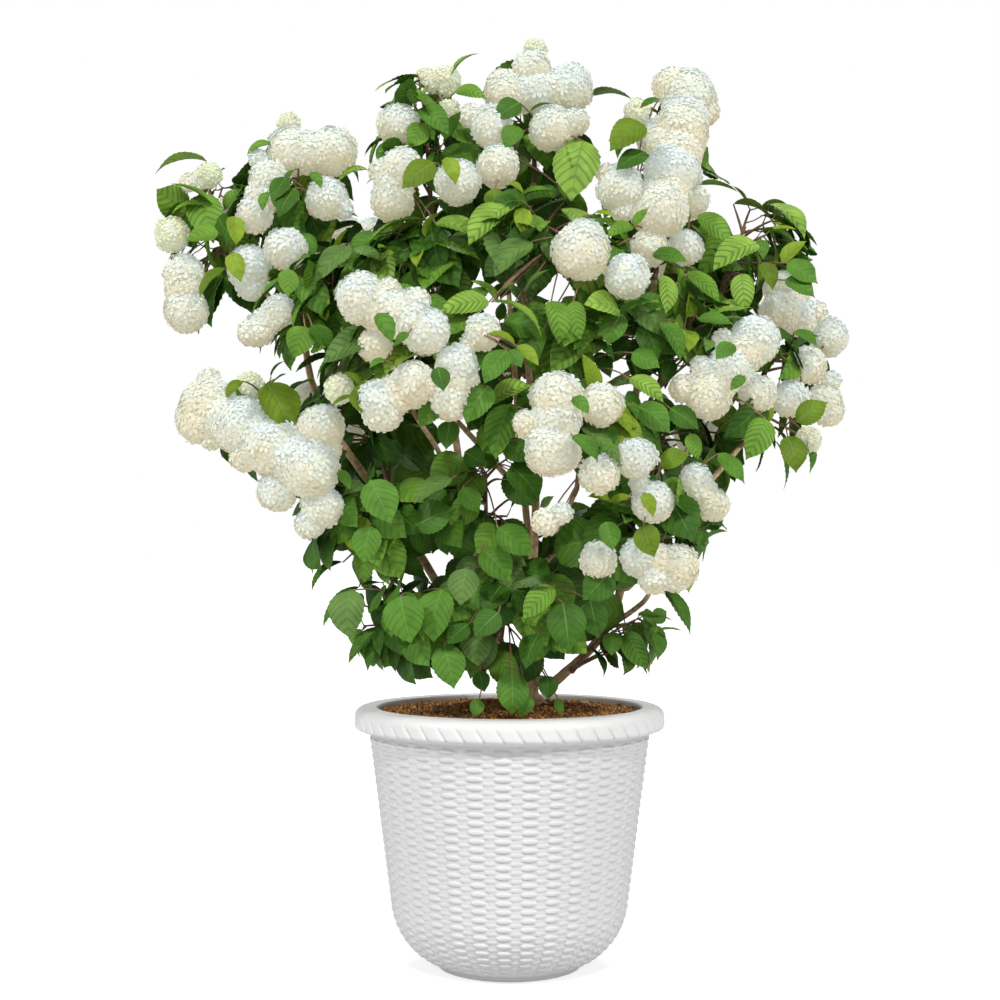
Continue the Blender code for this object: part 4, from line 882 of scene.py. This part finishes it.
def point_along(path, share):
    """The place and direction at a share of a path's length."""
    lengths = [(b - a).length for a, b in zip(path, path[1:])]
    left = share * sum(lengths)
    for a, b, length in zip(path, path[1:], lengths):
        if left <= length:
            return a.lerp(b, left / length), (b - a).normalized()
        left -= length
    return path[-1].copy(), (path[-1] - path[-2]).normalized()


def even_shares(path):
    """The share of a path's length at each of its points."""
    lengths = [(b - a).length for a, b in zip(path, path[1:])]
    return np.concatenate([[0], np.cumsum(lengths)]) / sum(lengths)


def tapered(path, foot_radius, tip_radius):
    return foot_radius + (tip_radius - foot_radius) * even_shares(path)


def ripple(out, run, origin, around, along, shift):
    """How far the bark stands out in a direction, at a distance along its limb."""
    return noise.noise(Vector((out.x * around, out.y * around, run * along)) + origin * shift)


def tube(gathered, path, radii, sides, kind=0, relief=0.0, closed=True):
    """Adds a tube along a path, with a pointed end and, where relief is given, furrows that run along it."""
    path = [Vector(p) for p in path]
    radii = list(radii)
    if closed:
        end = (path[-1] - path[-2]).normalized()
        path.append(path[-1] + end * radii[-1] * 0.6)
        radii.append(radii[-1] * 0.10)
    across = (path[1] - path[0]).orthogonal().normalized()
    rings = []
    run = 0.0
    for i, (place, radius) in enumerate(zip(path, radii)):
        along = (path[min(i + 1, len(path) - 1)] - path[max(i - 1, 0)]).normalized()
        across = (across - along * across.dot(along)).normalized()
        other = along.cross(across)
        run += (place - path[i - 1]).length if i else 0
        for side in range(sides):
            angle = math.tau * side / sides
            out = across * math.cos(angle) + other * math.sin(angle)
            size = radius
            if relief:
                furrow, knot = (ripple(out, run, path[0], *often) for often in (FURROWS, KNOTS))
                size = radius * (1 + relief * (furrow + KNOT_SHARE * knot))
            rings.append(place + out * size)
    gathered.add(np.array(rings), grid_faces(len(path), sides, wrap=True), kind)


class Limbs:
    """The path and radii of the root crown and of every limb, by name."""

    def __init__(self):
        foot = SOIL_TOP - ROOT_DEPTH
        rise = ROOT_CROWN_TOP - foot
        shares = np.linspace(0, 1, 15)
        heights, sizes = np.array(ROOT_SECTIONS).T
        crown = [Vector((ROOT_CROWN_X - ROOT_LEAN * s, 0, foot + rise * s)) for s in shares]
        self.paths = {"root_crown": crown}
        self.radii = {"root_crown": ROOT_FLARE_RADIUS * np.interp(shares, heights, sizes)}
        for limb in LIMBS:
            first = Vector(limb.way[0])
            start, collar = self.seat(limb.parent, limb.share, first, limb.foot_radius * COLLAR_SHARE)
            # The bark curves out of its parent where the source has a straight collar
            way = [start, start.lerp(collar, 0.6).lerp(first, 0.12), *limb.way]
            path = smooth_path(way, LIMB_RING_SPACING)
            radii = tapered(path, limb.foot_radius, limb.tip_radius)
            self.paths[limb.name], self.radii[limb.name] = path, radii

    def seat(self, parent, share, aim, collar_length):
        """Where growth leaves a limb's axis, and the end of its collar, which stands square to the bark."""
        path, radii = self.paths[parent], self.radii[parent]
        place, along = point_along(path, share)
        if share == 1:
            return place, place + along * collar_length
        radius = np.interp(share, even_shares(path), radii)
        out = aim - place
        out = (out - along * out.dot(along)).normalized()
        return place, place + out * (radius + collar_length)


def make_bark(limbs):
    bark = material("bark", (0.600, 0.415, 0.235), 0.85, mottle=0.40, mottle_scale=160, bump=0.5,
                    bump_scale=260)
    woody = Gathered()
    tube(woody, limbs.paths["root_crown"], limbs.radii["root_crown"], 28, relief=BARK_RELIEF * 1.6)
    for limb in LIMBS:
        path, radii = limbs.paths[limb.name], np.array(limbs.radii[limb.name])
        run = even_shares(path) * sum((b - a).length for a, b in zip(path, path[1:]))
        flare = 0.92 + BARK_FLARE * np.exp(-run / (limb.foot_radius * 2.2))
        tube(woody, path, radii * flare, LIMB_SIDES, relief=BARK_RELIEF)
    nodes = ["root_crown", *[limb.name for limb in LIMBS]]
    dress(woody.to_object("bark", [bark]), nodes)


# Leaves and flowers as templates of length or radius 1


def leaf_template(kind, width, fold, arch, cup, pleat, ruffle):
    """A leaf's points, the angle that its midrib bends through, and its kind. Rows follow the side veins."""
    strips = np.tile([1 - VEIN_SHARES[kind], VEIN_SHARES[kind]], VEINS[kind])
    rows = (np.concatenate([[0], np.cumsum(strips)]) / VEINS[kind])[:, None]
    columns = np.array(LEAF_COLUMNS)[None, :]
    away = np.abs(columns)
    half = width / 2 * np.interp(rows, OUTLINE_AT, OUTLINE_WIDTH)
    foot = np.maximum.accumulate(np.maximum(0.22 * rows, rows - VEIN_SWEEP * half))
    fold_way = np.where(np.arange(len(rows)) % 2, 1.0, -1.0)[:, None]
    along = foot + (rows - foot) * (0.60 * away + 0.40 * away ** 2)
    y = half * columns * np.where(away == 1, 1 + 0.03 * fold_way, 1)
    lift = np.interp(away, (0, 0.035, 0.60, 1.0), (0.0, 0.2, 1.0, 0.6))
    ripple = -fold_way * lift * pleat * np.sin(np.pi * np.clip(rows, 0.04, 0.96)) ** 0.6
    wave = ruffle * away ** 2 * np.sin(rows * 11 + columns * 2)
    rise = ripple + fold * np.abs(y) - cup * y ** 2 + wave
    bend = arch * along
    x = np.sin(bend) / arch + np.sin(bend) * rise
    z = (np.cos(bend) - 1) / arch + np.cos(bend) * rise
    return np.stack(np.broadcast_arrays(x, y, z), -1).reshape(-1, 3), arch, kind


def leaf_faces(veins):
    """Triangles of a leaf and, for each, 0 on a pleat's broad side, 1 on its narrow one, which is painted in
    shade, 2 on the midrib.
    """
    columns = len(LEAF_COLUMNS)
    faces = grid_faces(2 * veins + 1, columns)
    corner = faces.min(axis=1)
    return faces, np.where(corner % columns == columns // 2 - 1, 2, corner // columns % 2)


def floret_template(cup, droop, rng):
    """A flower of five rounded lobes, each a fan from the flower's middle."""
    around = (-27, -15, 15, 27)
    reach = (0.55, 1.02, 1.02, 0.55)
    rise = (0.10, 0.20, 0.20, 0.10)
    points, faces = [(0, 0, 0)], []
    for lobe in range(5):
        turn = lobe * 72 + rng.uniform(-5, 5)
        size, bend = rng.uniform(0.86, 1.08), rng.uniform(-0.5, 1.0)
        first = len(points)
        for angle, r, z in zip(around, reach, rise):
            a = math.radians(turn + angle)
            height = z * cup * 3 - droop * bend * r ** 3
            points.append((r * size * math.cos(a), r * size * math.sin(a), height))
        faces += [(0, first + i, first + i + 1) for i in range(len(around) - 1)]
    return np.array(points), np.array(faces)


def ball_template(rings, sides):
    """A ball's points and triangles, with small flat poles."""
    polar = np.linspace(0.06, math.pi - 0.06, rings)
    turn = even_turns(sides)
    flat, high = np.sin(polar)[:, None], np.cos(polar)[:, None]
    points = np.stack(np.broadcast_arrays(flat * np.cos(turn), flat * np.sin(turn), high), -1).reshape(-1, 3)
    return points, grid_faces(rings, sides, wrap=True)[:, ::-1]


class Growth:
    """All that grows on the limbs: it gathers twigs, leaves and flowers for each side of the crown."""

    def __init__(self, limbs):
        self.limbs = limbs
        rng = random.Random(f"{SEED} templates")
        spread = [rng.uniform(-1, 1) for _ in range(3 * LEAF_FORMS)]
        forms = [[reach * turn for reach, turn in zip(FORM_SPREAD, three)]
                 for three in zip(spread[::3], spread[1::3], spread[2::3])]
        self.kinds = [[leaf_template(kind, width + wider, fold + steeper, arch + rounder, *rest)
                       for wider, steeper, rounder in forms] for kind, width, fold, arch, *rest in LEAF_KINDS]
        self.leaf_faces = [leaf_faces(veins) for veins in VEINS]
        self.florets = [floret_template(FLORET_CUP + FLORET_CUP_SPREAD * turn, FLORET_DROOP, rng)
                        for turn in spread[:LEAF_FORMS]]
        self.ball = ball_template(9, 12)
        self.bud = ball_template(5, 6)
        self.twigs = Gathered()
        self.leaves = {}
        self.flowers = {}
        self.leaf_places = []
        balls = [ball for mass in MASSES for flowers in mass.flowers for ball in head_balls(flowers)]
        balls += [lump_ball(lump) for mass in MASSES for lump in mass.lumps]
        self.head_centres = np.array([place for place, _ in balls])
        self.head_radii = np.array([radius for _, radius in balls])
        placed = [leaf for mass in MASSES for leaf in mass.leaves]
        middles = [((x0 + x1) / 2000, y / 1000, (z0 + z1) / 2000) for x0, z0, x1, z1, y, _, _ in placed]
        sizes = [math.hypot(x1 - x0, z1 - z0) / 1000 for x0, z0, x1, z1, _, _, _ in placed]
        # Heads and placed leaves are shown whole: nothing else stands before them
        self.shown_centres = np.concatenate([self.head_centres, middles])
        self.shown_radii = np.concatenate([self.head_radii * SHOWN_HEAD, np.array(sizes) * SHOWN_LEAF])
        axes = [(place, radius) for name, path in limbs.paths.items()
                for place, radius in zip(path, limbs.radii[name])]
        self.limb_points = np.array([place for place, _ in axes])
        self.limb_radii = np.array([radius for _, radius in axes])

    def stem_of(self, mass):
        """The mass's own stem, by the source's rule, in finer steps."""
        centre = Vector(mass.centre)
        start, collar = self.limbs.seat(mass.limb, mass.share, centre, MASS_COLLAR)
        top = centre + UP * mass.radii[2] * MASS_STEM_REACH
        return [start, *bent_path(collar, top, 0.05, 8)]

    def add_twig(self, path, foot_radius=SHOOT_FOOT_RADIUS, tip_radius=SHOOT_TIP_RADIUS, sides=TWIG_SIDES,
                 kind=0):
        tube(self.twigs, path, tapered(path, foot_radius, tip_radius), sides, kind)

    def add_leaf(self, side, base, axes, length, leaf, tone):
        midrib, across, face = (np.array(axis) for axis in axes)
        template, _, kind = leaf
        points = np.array(base) + length * (template[:, :1] * midrib + template[:, 1:2] * across
                                            + template[:, 2:] * face)
        gathered = self.leaves.setdefault(side, Gathered())
        faces, strips = self.leaf_faces[kind]
        # Narrow strips take a darker copy of the green, painted shade on each pleat's far slope, softer on
        # broad and budding leaves
        narrow = 1 if kind == LONG else 2
        gathered.add(points, faces, np.where(strips == 2, 3 * len(LEAF_TONES), strips * narrow + 3 * tone))
        self.leaf_places.append(np.array(base) + 0.5 * length * midrib)

    def blocked(self, mass, base, axes, length, leaf):
        """Whether a leaf would leave its mass's space or the crown's outline, close an opening, touch a limb,
        hide a head or a placed leaf, or lie on another leaf."""
        base = np.array(base)
        midrib, across, face = (np.array(axis) for axis in axes)
        _, arch, _ = leaf
        x, y = LEAF_SAMPLES[:, :1], LEAF_SAMPLES[:, 1:]
        points = base + length * (x * midrib + y * across - arch / 2 * x * x * face)
        if (np.linalg.norm((points - mass.centre) / mass.radii, axis=1) > LEAF_REACH).any():
            return True
        if points[:, 2].min() < SOIL_TOP + SOIL_CLEARANCE or beyond_view(points):
            return True
        to_limbs = np.linalg.norm(points[:3, None, :] - self.limb_points, axis=2)
        to_heads = np.linalg.norm(points[:, None, :] - self.head_centres, axis=2)
        if (to_limbs < self.limb_radii + LIMB_CLEARANCE).any() or (to_heads < self.head_radii).any():
            return True
        # What is shown faces its own side of the crown
        to_shown = points[:, None, :] - self.shown_centres
        facing = np.where(self.shown_centres[:, 1] < BACK_Y, -1.0, 1.0)
        beside = np.hypot(to_shown[:, :, 0], to_shown[:, :, 2]) < self.shown_radii
        if (beside & (to_shown[:, :, 1] * facing > 0)).any():
            return True
        if not self.leaf_places:
            return False
        clearance = LOW_LEAF_CLEARANCE if mass.droop >= LOW_DROOP else LEAF_CLEARANCE
        middle = base + 0.5 * length * midrib
        return bool((np.linalg.norm(np.array(self.leaf_places) - middle, axis=1) < clearance).any())

    def add_petiole(self, start, end):
        path = bent_path(Vector(start), Vector(end), -0.12, 2)
        tube(self.twigs, path, [PETIOLE_RADIUS * 1.3, PETIOLE_RADIUS, PETIOLE_RADIUS], PETIOLE_SIDES, kind=1,
             closed=False)

    def leaf_pair(self, mass, twig, share, turn, droop, sizes, tone, kind, rng):
        """Two opposite leaves on a twig, each on its petiole, where they fit. Tells whether any has grown."""
        grown = False
        place, along = point_along(twig, share)
        level = along.cross(UP)
        level = level.normalized() if level.length > 0.05 else Vector((1, 0, 0))
        for sign in (1, -1):
            length = rng.uniform(*sizes)
            leaf = rng.choice(self.kinds[kind])
            out = Matrix.Rotation(turn, 3, along) @ level * sign
            for attempt in range(LEAF_ATTEMPTS):
                jitter = random_vector(rng) * (LEAF_JITTER + ADDED_JITTER * attempt)
                petiole = length * rng.uniform(*PETIOLE_SHARES)
                base = place + (out * 0.8 + along * 0.5 + jitter * 0.3).normalized() * petiole
                axes = leaf_axes(place, along, out, droop, jitter)
                if self.blocked(mass, base, axes, length, leaf):
                    continue
                shade = tone if rng.random() < TONE_KEPT else rng.choice((FRESH, MID, DEEP_SHADE))
                self.add_leaf(side_of(mass), base, axes, length, leaf, shade)
                self.add_petiole(place, base + axes[0] * length * 0.03)
                grown = True
                break
        return grown

    def tone_of(self, mass, aim, rng):
        """The green of a spray: sunlit at the crown's top, broad and darker low down, where more of it is
        painted deep shade, and painted deep shade inside.
        """
        height = (mass.centre[2] + aim.z * mass.radii[2] - TONE_FOOT) / TONE_HEIGHT
        high = max(0, min(1, height))
        # Sprays that point into the crown take the painted deep shade
        inside = aim.dot(level_out(mass.centre)) < -0.35
        if inside and rng.random() < 0.7 - 0.4 * high:
            return DEEP_SHADE
        low = 1 - high
        weights = (0.46 * high, 0.34 * high + 0.16 * low, 0.14 * high + 0.46 * low, 0.08 + 0.06 * low,
                   0.05 + 0.36 * low, 0.04 * high, 0.05 * high)
        return rng.choices(range(len(LEAF_TONES)), weights)[0]

    def leafy_shoot(self, mass, stem, direction, rng):
        """A shoot with pairs of leaves, each pair turned from the one before, and young leaves at its end."""
        centre, radii = Vector(mass.centre), Vector(mass.radii)
        lowest, highest = SHOOT_SEATS
        share = 0.55 + 0.32 * direction.z + rng.uniform(-SHOOT_SEAT_SPREAD, SHOOT_SEAT_SPREAD)
        start, _ = point_along(stem, min(highest, max(lowest, share)))
        reach = SHOOT_REACH * rng.uniform(*REACH_SPREAD)
        path = bent_path(start, centre + radii * direction * reach, 0.10, 5)
        tone = self.tone_of(mass, direction, rng)
        low = mass.droop >= LOW_DROOP
        kind = BROAD if mass.droop > 0.5 or rng.random() < 0.25 else LONG
        sizes = LOW_LEAF_LENGTHS if low else LEAF_LENGTHS
        turn = rng.uniform(-0.5, 0.5)
        leafy = 0
        for pair_share in PAIRS_ON_SHOOT:
            if self.leaf_pair(mass, path, pair_share, turn, mass.droop, sizes, tone, kind, rng):
                leafy = max(leafy, pair_share)
            turn += PAIR_TURN
        if tone in (SUNLIT, FRESH) and not low:
            tone = YOUNG
        if self.leaf_pair(mass, path, 1.0, turn, mass.droop - 0.3, YOUNG_LEAF_LENGTHS, tone, BUDDING, rng):
            leafy = 1
        if leafy:
            # Only the leafy part of a shoot is kept, so that none stands bare in an opening
            kept = [point for point, share in zip(path, even_shares(path)) if share < leafy - 0.05]
            self.add_twig([*kept, point_along(path, leafy)[0]])

    def flower_shoot(self, mass, stem, flowers, rng):
        """The shoot that carries a row of heads, with its heads."""
        places = head_places(flowers)
        fall = HEIGHT_WEIGHT * max(0, stem[-1].z - places[0].z)
        share = min(FLOWER_SEATS, key=lambda s: (point_along(stem, s)[0] - places[0]).length + s * fall)
        start, _ = point_along(stem, share)
        path = bent_path(start, places[0], 0.06, 5)
        for a, b in zip(places, places[1:]):
            path += [a.lerp(b, 0.5), b]
        self.add_twig(path)
        for centre, radius in head_balls(flowers):
            self.add_head(side_of(mass), centre, radius, flowers.radius < YOUNG_HEAD_RADIUS, rng)
        return path

    def head_lump(self, mass, wood, lump, rng):
        """A further lump on the heads, as old as the nearest, with a stalk of its own if it stands clear."""
        centre, radius = lump_ball(lump)
        rows = [(place, flowers.radius) for flowers in mass.flowers for place in head_places(flowers)]
        near, near_radius = min(rows, key=lambda row: (row[0] - centre).length - row[1])
        self.add_head(side_of(mass), centre, radius, near_radius < YOUNG_HEAD_RADIUS, rng)
        if (near - centre).length > near_radius + radius:
            path = bent_path(nearest_wood(wood, centre), centre, 0.10, 5)
            self.add_twig(path, SHOOT_TIP_RADIUS, PETIOLE_RADIUS)

    def add_head(self, side, centre, radius, young, rng):
        """A snowball head: florets on a lumpy ball, or tight buds among small florets while it is young."""
        gathered = self.flowers.setdefault(side, Gathered())
        centre = np.array(centre)
        phase = random_vector(rng) * 5
        points, faces = self.ball
        sizes = np.array([bulge(Vector(point), phase) for point in points])
        gathered.add(points * (sizes * radius * CORE_SIZE)[:, None] + centre, faces, CORE)
        other_heads = np.linalg.norm(self.head_centres - centre, axis=1) > 0.001
        scale = YOUNG_FLORET_SIZE if young else 1.0
        count = round(4 * math.pi * radius ** 2 / (FLORET_SPACING * scale) ** 2 / FLORET_PACKING)
        spin = Matrix.Rotation(rng.uniform(0, math.tau), 3, random_vector(rng))
        tint = rng.uniform(-0.7, 0.7)
        for i in range(count):
            out = spin @ on_ball(1 - 2 * (i + 0.5) / count, i * GOLDEN_ANGLE)
            seat = FLORET_SEAT * bulge(out, phase) + rng.uniform(-FLORET_UNEVEN, FLORET_UNEVEN)
            place = centre + np.array(out) * radius * seat
            inside = np.linalg.norm(self.head_centres - place, axis=1) < self.head_radii * HIDDEN_SHARE
            if (inside & other_heads).any():
                continue
            face = (out + random_vector(rng) * FLORET_TILT).normalized()
            across = face.cross(random_vector(rng)).normalized()
            axes = np.array([across, face.cross(across), face])
            if young and rng.random() < BUD_SHARE:
                points, faces = self.bud
                gathered.add(points * rng.uniform(*BUD_SIZES) + place, faces, GREENISH)
                continue
            points, faces = rng.choice(self.florets)
            size = FLORET_RADIUS * scale * rng.uniform(*FLORET_SIZES)
            gathered.add(points @ axes * size + place, faces, self.tint_of(out, tint, young, rng))

    def tint_of(self, out, tint, young, rng):
        """The white of a floret: cooler above, as painted sky light, and creamier below, as painted shade,
        greener while the head is young.
        """
        if young:
            return rng.choice((GREENISH, CREAM, WHITE))
        # The term in out.z paints light: cooler where a floret faces up, creamier where it faces down
        warmth_and_painted_light = 0.45 * tint + rng.uniform(-0.22, 0.22) - 0.60 * out.z
        for least, white in WHITES_BY_WARMTH_AND_LIGHT:
            if warmth_and_painted_light > least:
                return white
        return COOL

    def grow(self, mass):
        rng = random.Random(f"{SEED} {mass.name} leaves")
        stem = self.stem_of(mass)
        self.add_twig(stem, TWIG_FOOT_RADIUS, TWIG_TIP_RADIUS, TWIG_SIDES + 2)
        wood = [*stem, *self.limbs.paths[mass.limb][-12:]]
        for flowers in mass.flowers:
            wood += self.flower_shoot(mass, stem, flowers, rng)[:4]
        for lump in mass.lumps:
            self.head_lump(mass, wood, lump, rng)
        for base, tip in mass.outliers:
            self.outlying_leaf(mass, stem, Vector(base), Vector(tip), rng)
        for leaf in mass.leaves:
            self.placed_leaf(mass, wood, leaf, rng)
        for direction in spread_directions(mass, mass.shoots * SHOOTS_TIMES, rng):
            self.leafy_shoot(mass, stem, direction, rng)

    def leaf_between(self, mass, base, tip, face, leaf, tone):
        """A leaf whose midrib, bent as its template bends, runs from a base to a tip."""
        _, arch, _ = leaf
        chord = (tip - base).normalized()
        across = face.cross(chord).normalized()
        midrib = Matrix.Rotation(-arch / 2, 3, across) @ chord
        length = (tip - base).length * arch / (2 * math.sin(arch / 2))
        self.add_leaf(side_of(mass), base, (midrib, across, midrib.cross(across)), length, leaf, tone)

    def placed_leaf(self, mass, wood, placed, rng):
        """A leaf that the front view shows on its own, turned to the view, on a stalk from the near wood."""
        x0, z0, x1, z1, y, kind, tone = placed
        base, tip = Vector((x0, y, z0)) / 1000, Vector((x1, y - TIP_NEARER, z1)) / 1000
        upright = kind == BROAD or abs(x1 - x0) < abs(z1 - z0)
        face = Vector(UPRIGHT_FACE if upright else LYING_FACE) + random_vector(rng) * PLACED_JITTER
        self.leaf_between(mass, base, tip, face, rng.choice(self.kinds[kind]), tone)
        start = nearest_wood(wood, base)
        green = (base - start).length < GREEN_STALK
        self.add_twig(bent_path(start, base, 0.12, 4), SHOOT_TIP_RADIUS, PETIOLE_RADIUS, kind=int(green))

    def outlying_leaf(self, mass, stem, base, tip, rng):
        """A straight shoot to an outlying leaf's base, and that leaf, as long as from its base to its tip."""
        share = min(OUTLIER_SEATS, key=lambda s: (point_along(stem, s)[0] - base).length)
        start, _ = point_along(stem, share)
        self.add_twig(bent_path(start, base, 0.05, 5), tip_radius=PETIOLE_RADIUS)
        face = UP * 0.8 + level_out(base) * 0.6
        tone = SUNLIT if mass.droop < 0.5 else MID
        self.leaf_between(mass, base, tip, face, rng.choice(self.kinds[LONG]), tone)

    def finish(self):
        twig = material("twig", (0.240, 0.140, 0.080), 0.70, mottle=0.30, mottle_scale=200, bump=0.3)
        petiole = material("petiole", (0.140, 0.170, 0.040), 0.60, mottle=0.20, mottle_scale=200, bump=0.1)
        greens = []
        # Each green comes with darker copies for the narrow strips: painted shade, full on long leaves and
        # softer on the others
        for name, broad, narrow in LEAF_TONES:
            soft = [b + (n - b) * SOFT_VEIN_SHADE for b, n in zip(broad, narrow)]
            for shade, colour in (("broad", broad), ("narrow", narrow), ("soft", soft)):
                greens.append(material(f"{name}_{shade}", colour, mottle=0.22, mottle_scale=45, **LEAF_LOOK))
        greens.append(material("leaf_midrib", (0.115, 0.250, 0.045), mottle=0.10, **LEAF_LOOK))
        # The petals and the heads' cores glow a little in their own colour: a painted glow that stands in for
        # the light that passes through thin petals and brightens their shaded sides
        whites = [material(name, colour, Emission_Color=(*colour, 1), **PETAL_LOOK_WITH_GLOW)
                  for name, colour in FLOWER_TINTS]
        dress(self.twigs.to_object("twigs", [twig, petiole]), [])
        for side, gathered in self.leaves.items():
            nodes = [mass.name for mass in MASSES if side_of(mass) == side]
            dress(gathered.to_object(f"leaves_{side}", greens), nodes)
        for side, gathered in self.flowers.items():
            nodes = [mass.name for mass in MASSES if side_of(mass) == side and mass.flowers]
            dress(gathered.to_object(f"flowers_{side}", whites), nodes)


def bulge(out, phase):
    """How far a head bulges in a direction, as a share of its radius."""
    return HEAD_FULLNESS + HEAD_LUMPS * noise.noise(out * LUMPS_AROUND + phase)


def lump_ball(lump):
    """The place and radius, in metres, of a row (x, z, radius, y) of lumps in mm."""
    x, z, radius, y = lump
    return Vector((x, y, z)) / 1000, radius / 1000


def beyond_view(points):
    """Whether any point lies outside the crown's outline or in one of its openings, seen from the front."""
    nearer = -EYE.y / (points[:, 1] - EYE.y)
    x = EYE.x + (points[:, 0] - EYE.x) * nearer
    z = EYE.z + (points[:, 2] - EYE.z) * nearer
    across, up = x - OUTLINE_MIDDLE[0], z - OUTLINE_MIDDLE[1]
    turn = np.degrees(np.arctan2(up, across))
    reach = np.interp(turn, np.arange(len(CROWN_OUTLINE)) * OUTLINE_STEP, CROWN_OUTLINE, period=360) / 1000
    if (np.hypot(across, up) > reach).any():
        return True
    middle_x, middle_z, *halves = (np.array(SKY_GAPS) / 1000).T
    half_width, half_height = (half * GAP_TIMES + GAP_EXTRA for half in halves)
    share = np.hypot((x[:, None] - middle_x) / half_width, (z[:, None] - middle_z) / half_height)
    return bool((share < 1).any())


def side_of(mass):
    """Which side of the crown a mass is on: the pieces are joined by side, so that none is too large."""
    if "back" in mass.name:
        return "back"
    if mass.centre[0] < LEFT_X:
        return "left"
    return "right" if mass.centre[0] > RIGHT_X else "middle"


def head_places(flowers):
    start, end = Vector(flowers.start), Vector(flowers.end or flowers.start)
    return [start.lerp(end, i / max(1, flowers.heads - 1)) for i in range(flowers.heads)]


def head_balls(flowers):
    """The balls that a row of heads fills: each head and, where two of them meet, the bridge between them."""
    places = head_places(flowers)
    size = flowers.radius * HEAD_SHARE
    balls = [(place, size) for place in places]
    behind = places[0].y > BACK_Y
    for a, b in zip(places, places[1:]):
        if (b - a).length < size * 2 and not behind:
            balls.append((a.lerp(b, 0.5), size * BRIDGE_SIZE))
    # The front's rows keep to the photograph, those behind are free to be less even
    jitter = BACK_HEAD_JITTER if behind else HEAD_JITTER
    shaken = []
    for place, radius in balls:
        shift = Vector([noise.noise(place * JITTER_OFTEN + JITTER_STEP * i) for i in range(3)])
        if behind:
            shift.y = -abs(shift.y)
        growth = 1 + min(jitter, MOST_GROWTH) * 0.5 * shift.z
        shaken.append((place + shift * radius * jitter, radius * growth))
    return shaken


def spread_directions(mass, count, rng):
    """Directions spread by the golden angle, without the lowest, leaning out from the crown's middle."""
    phase = rng.uniform(0, math.tau)
    for i in range(count):
        even = on_ball(HIGHEST_AIM - AIM_RANGE * i / max(1, count - 1), phase + i * GOLDEN_ANGLE)
        yield (even + level_out(mass.centre) * OUTWARD_LEAN).normalized()


def on_ball(height, turn):
    """The direction at a height, from -1 to 1, and a turn about the vertical."""
    flat = math.sqrt(1 - height * height)
    return Vector((flat * math.cos(turn), flat * math.sin(turn), height))


def level_out(place):
    """The level direction from the crown's axis to a place."""
    return Vector((place[0], place[1], 0)).normalized()


def nearest_wood(wood, place):
    """The point of the wood that a stalk to a place grows from, rather below the place than above it."""
    return min(wood, key=lambda point: (point - place).length + HEIGHT_WEIGHT * max(0, point.z - place.z))


def leaf_axes(place, along, side, droop, jitter):
    """A leaf's midrib direction, its direction across, and the way its upper face looks."""
    outward = level_out(place)
    midrib = (side * 0.8 + along * 0.35 + outward * 0.35 - UP * droop + jitter).normalized()
    face = UP * (1.15 - droop) + outward * (0.35 + droop) + jitter.yzx
    across = face.cross(midrib).normalized()
    return midrib, across, midrib.cross(across)


# The studio


def add_light(name, turn, height, strength, spread, colour):
    data = bpy.data.lights.new(name, "SUN")
    data.energy = strength
    data.angle = math.radians(spread)
    data.color = colour
    light = add_object(name, data)
    turn, height = math.radians(turn), math.radians(height)
    out = Vector((math.sin(turn) * math.cos(height), -math.cos(turn) * math.cos(height), math.sin(height)))
    light.location = out * LIGHT_DISTANCE
    light.rotation_euler = (-out).to_track_quat("-Z", "Y").to_euler()


def make_backdrop():
    """A backdrop that looks white, and lights the plant more softly than that."""
    world = bpy.data.worlds.new("studio")
    world.use_nodes = True
    nodes = world.node_tree.nodes
    glow = set_inputs(nodes["Background"], Color=(*WHITE_LIGHT, 1), Strength=SKY_LIGHT)
    backdrop = set_inputs(nodes.new("ShaderNodeBackground"), Color=(*WHITE_LIGHT, 1))
    ray = nodes.new("ShaderNodeLightPath")
    either = nodes.new("ShaderNodeMixShader")
    link_nodes(world.node_tree,
               (ray, "Is Camera Ray", either, 0), (glow, "Background", either, 1),
               (backdrop, "Background", either, 2), (either, "Shader", nodes["World Output"], "Surface"))
    bpy.context.scene.world = world


def make_floor():
    """A pale floor, which looks brighter than the light that it gives off."""
    paper = material("floor", (0.50, 0.50, 0.50), 0.9, mottle=0.01, bump=0.0, Specular_IOR_Level=0.0,
                     Emission_Color=(*WHITE_LIGHT, 1))
    nodes = paper.node_tree.nodes
    seen = nodes.new("ShaderNodeLightPath")
    glow = nodes.new("ShaderNodeMath")
    glow.operation = "MULTIPLY_ADD"
    glow.inputs[1].default_value, glow.inputs[2].default_value = FLOOR_GLOW
    link_nodes(paper.node_tree, (seen, "Is Camera Ray", glow, 0),
               (glow, "Value", nodes["Principled BSDF"], "Emission Strength"))
    mesh = bpy.data.meshes.new("floor")
    corners = [(x * FLOOR_REACH, y * FLOOR_REACH, 0) for x, y in ((-1, -1), (1, -1), (1, 1), (-1, 1))]
    mesh.from_pydata(corners, [], [(0, 1, 2, 3)])
    mesh.materials.append(paper)
    floor = add_object("floor", mesh)
    floor.location.z = -FLOOR_DROP


def make_camera():
    """The photograph's view of the whole plant."""
    data = bpy.data.cameras.new("camera")
    data.lens = LENS
    data.sensor_width = SENSOR_WIDTH
    camera = add_object("camera", data)
    camera.location = EYE
    aim = Vector((EYE.x, 0, AIM_HEIGHT))
    camera.rotation_euler = (aim - camera.location).to_track_quat("-Z", "Y").to_euler()
    bpy.context.scene.camera = camera


def main():
    bpy.context.scene.view_settings.view_transform = "Standard"
    make_backdrop()
    make_floor()
    for light in LIGHTS:
        add_light(*light)
    make_camera()
    make_planter()
    make_soil()
    limbs = Limbs()
    make_bark(limbs)
    growth = Growth(limbs)
    for mass in MASSES:
        growth.grow(mass)
    growth.finish()


main()
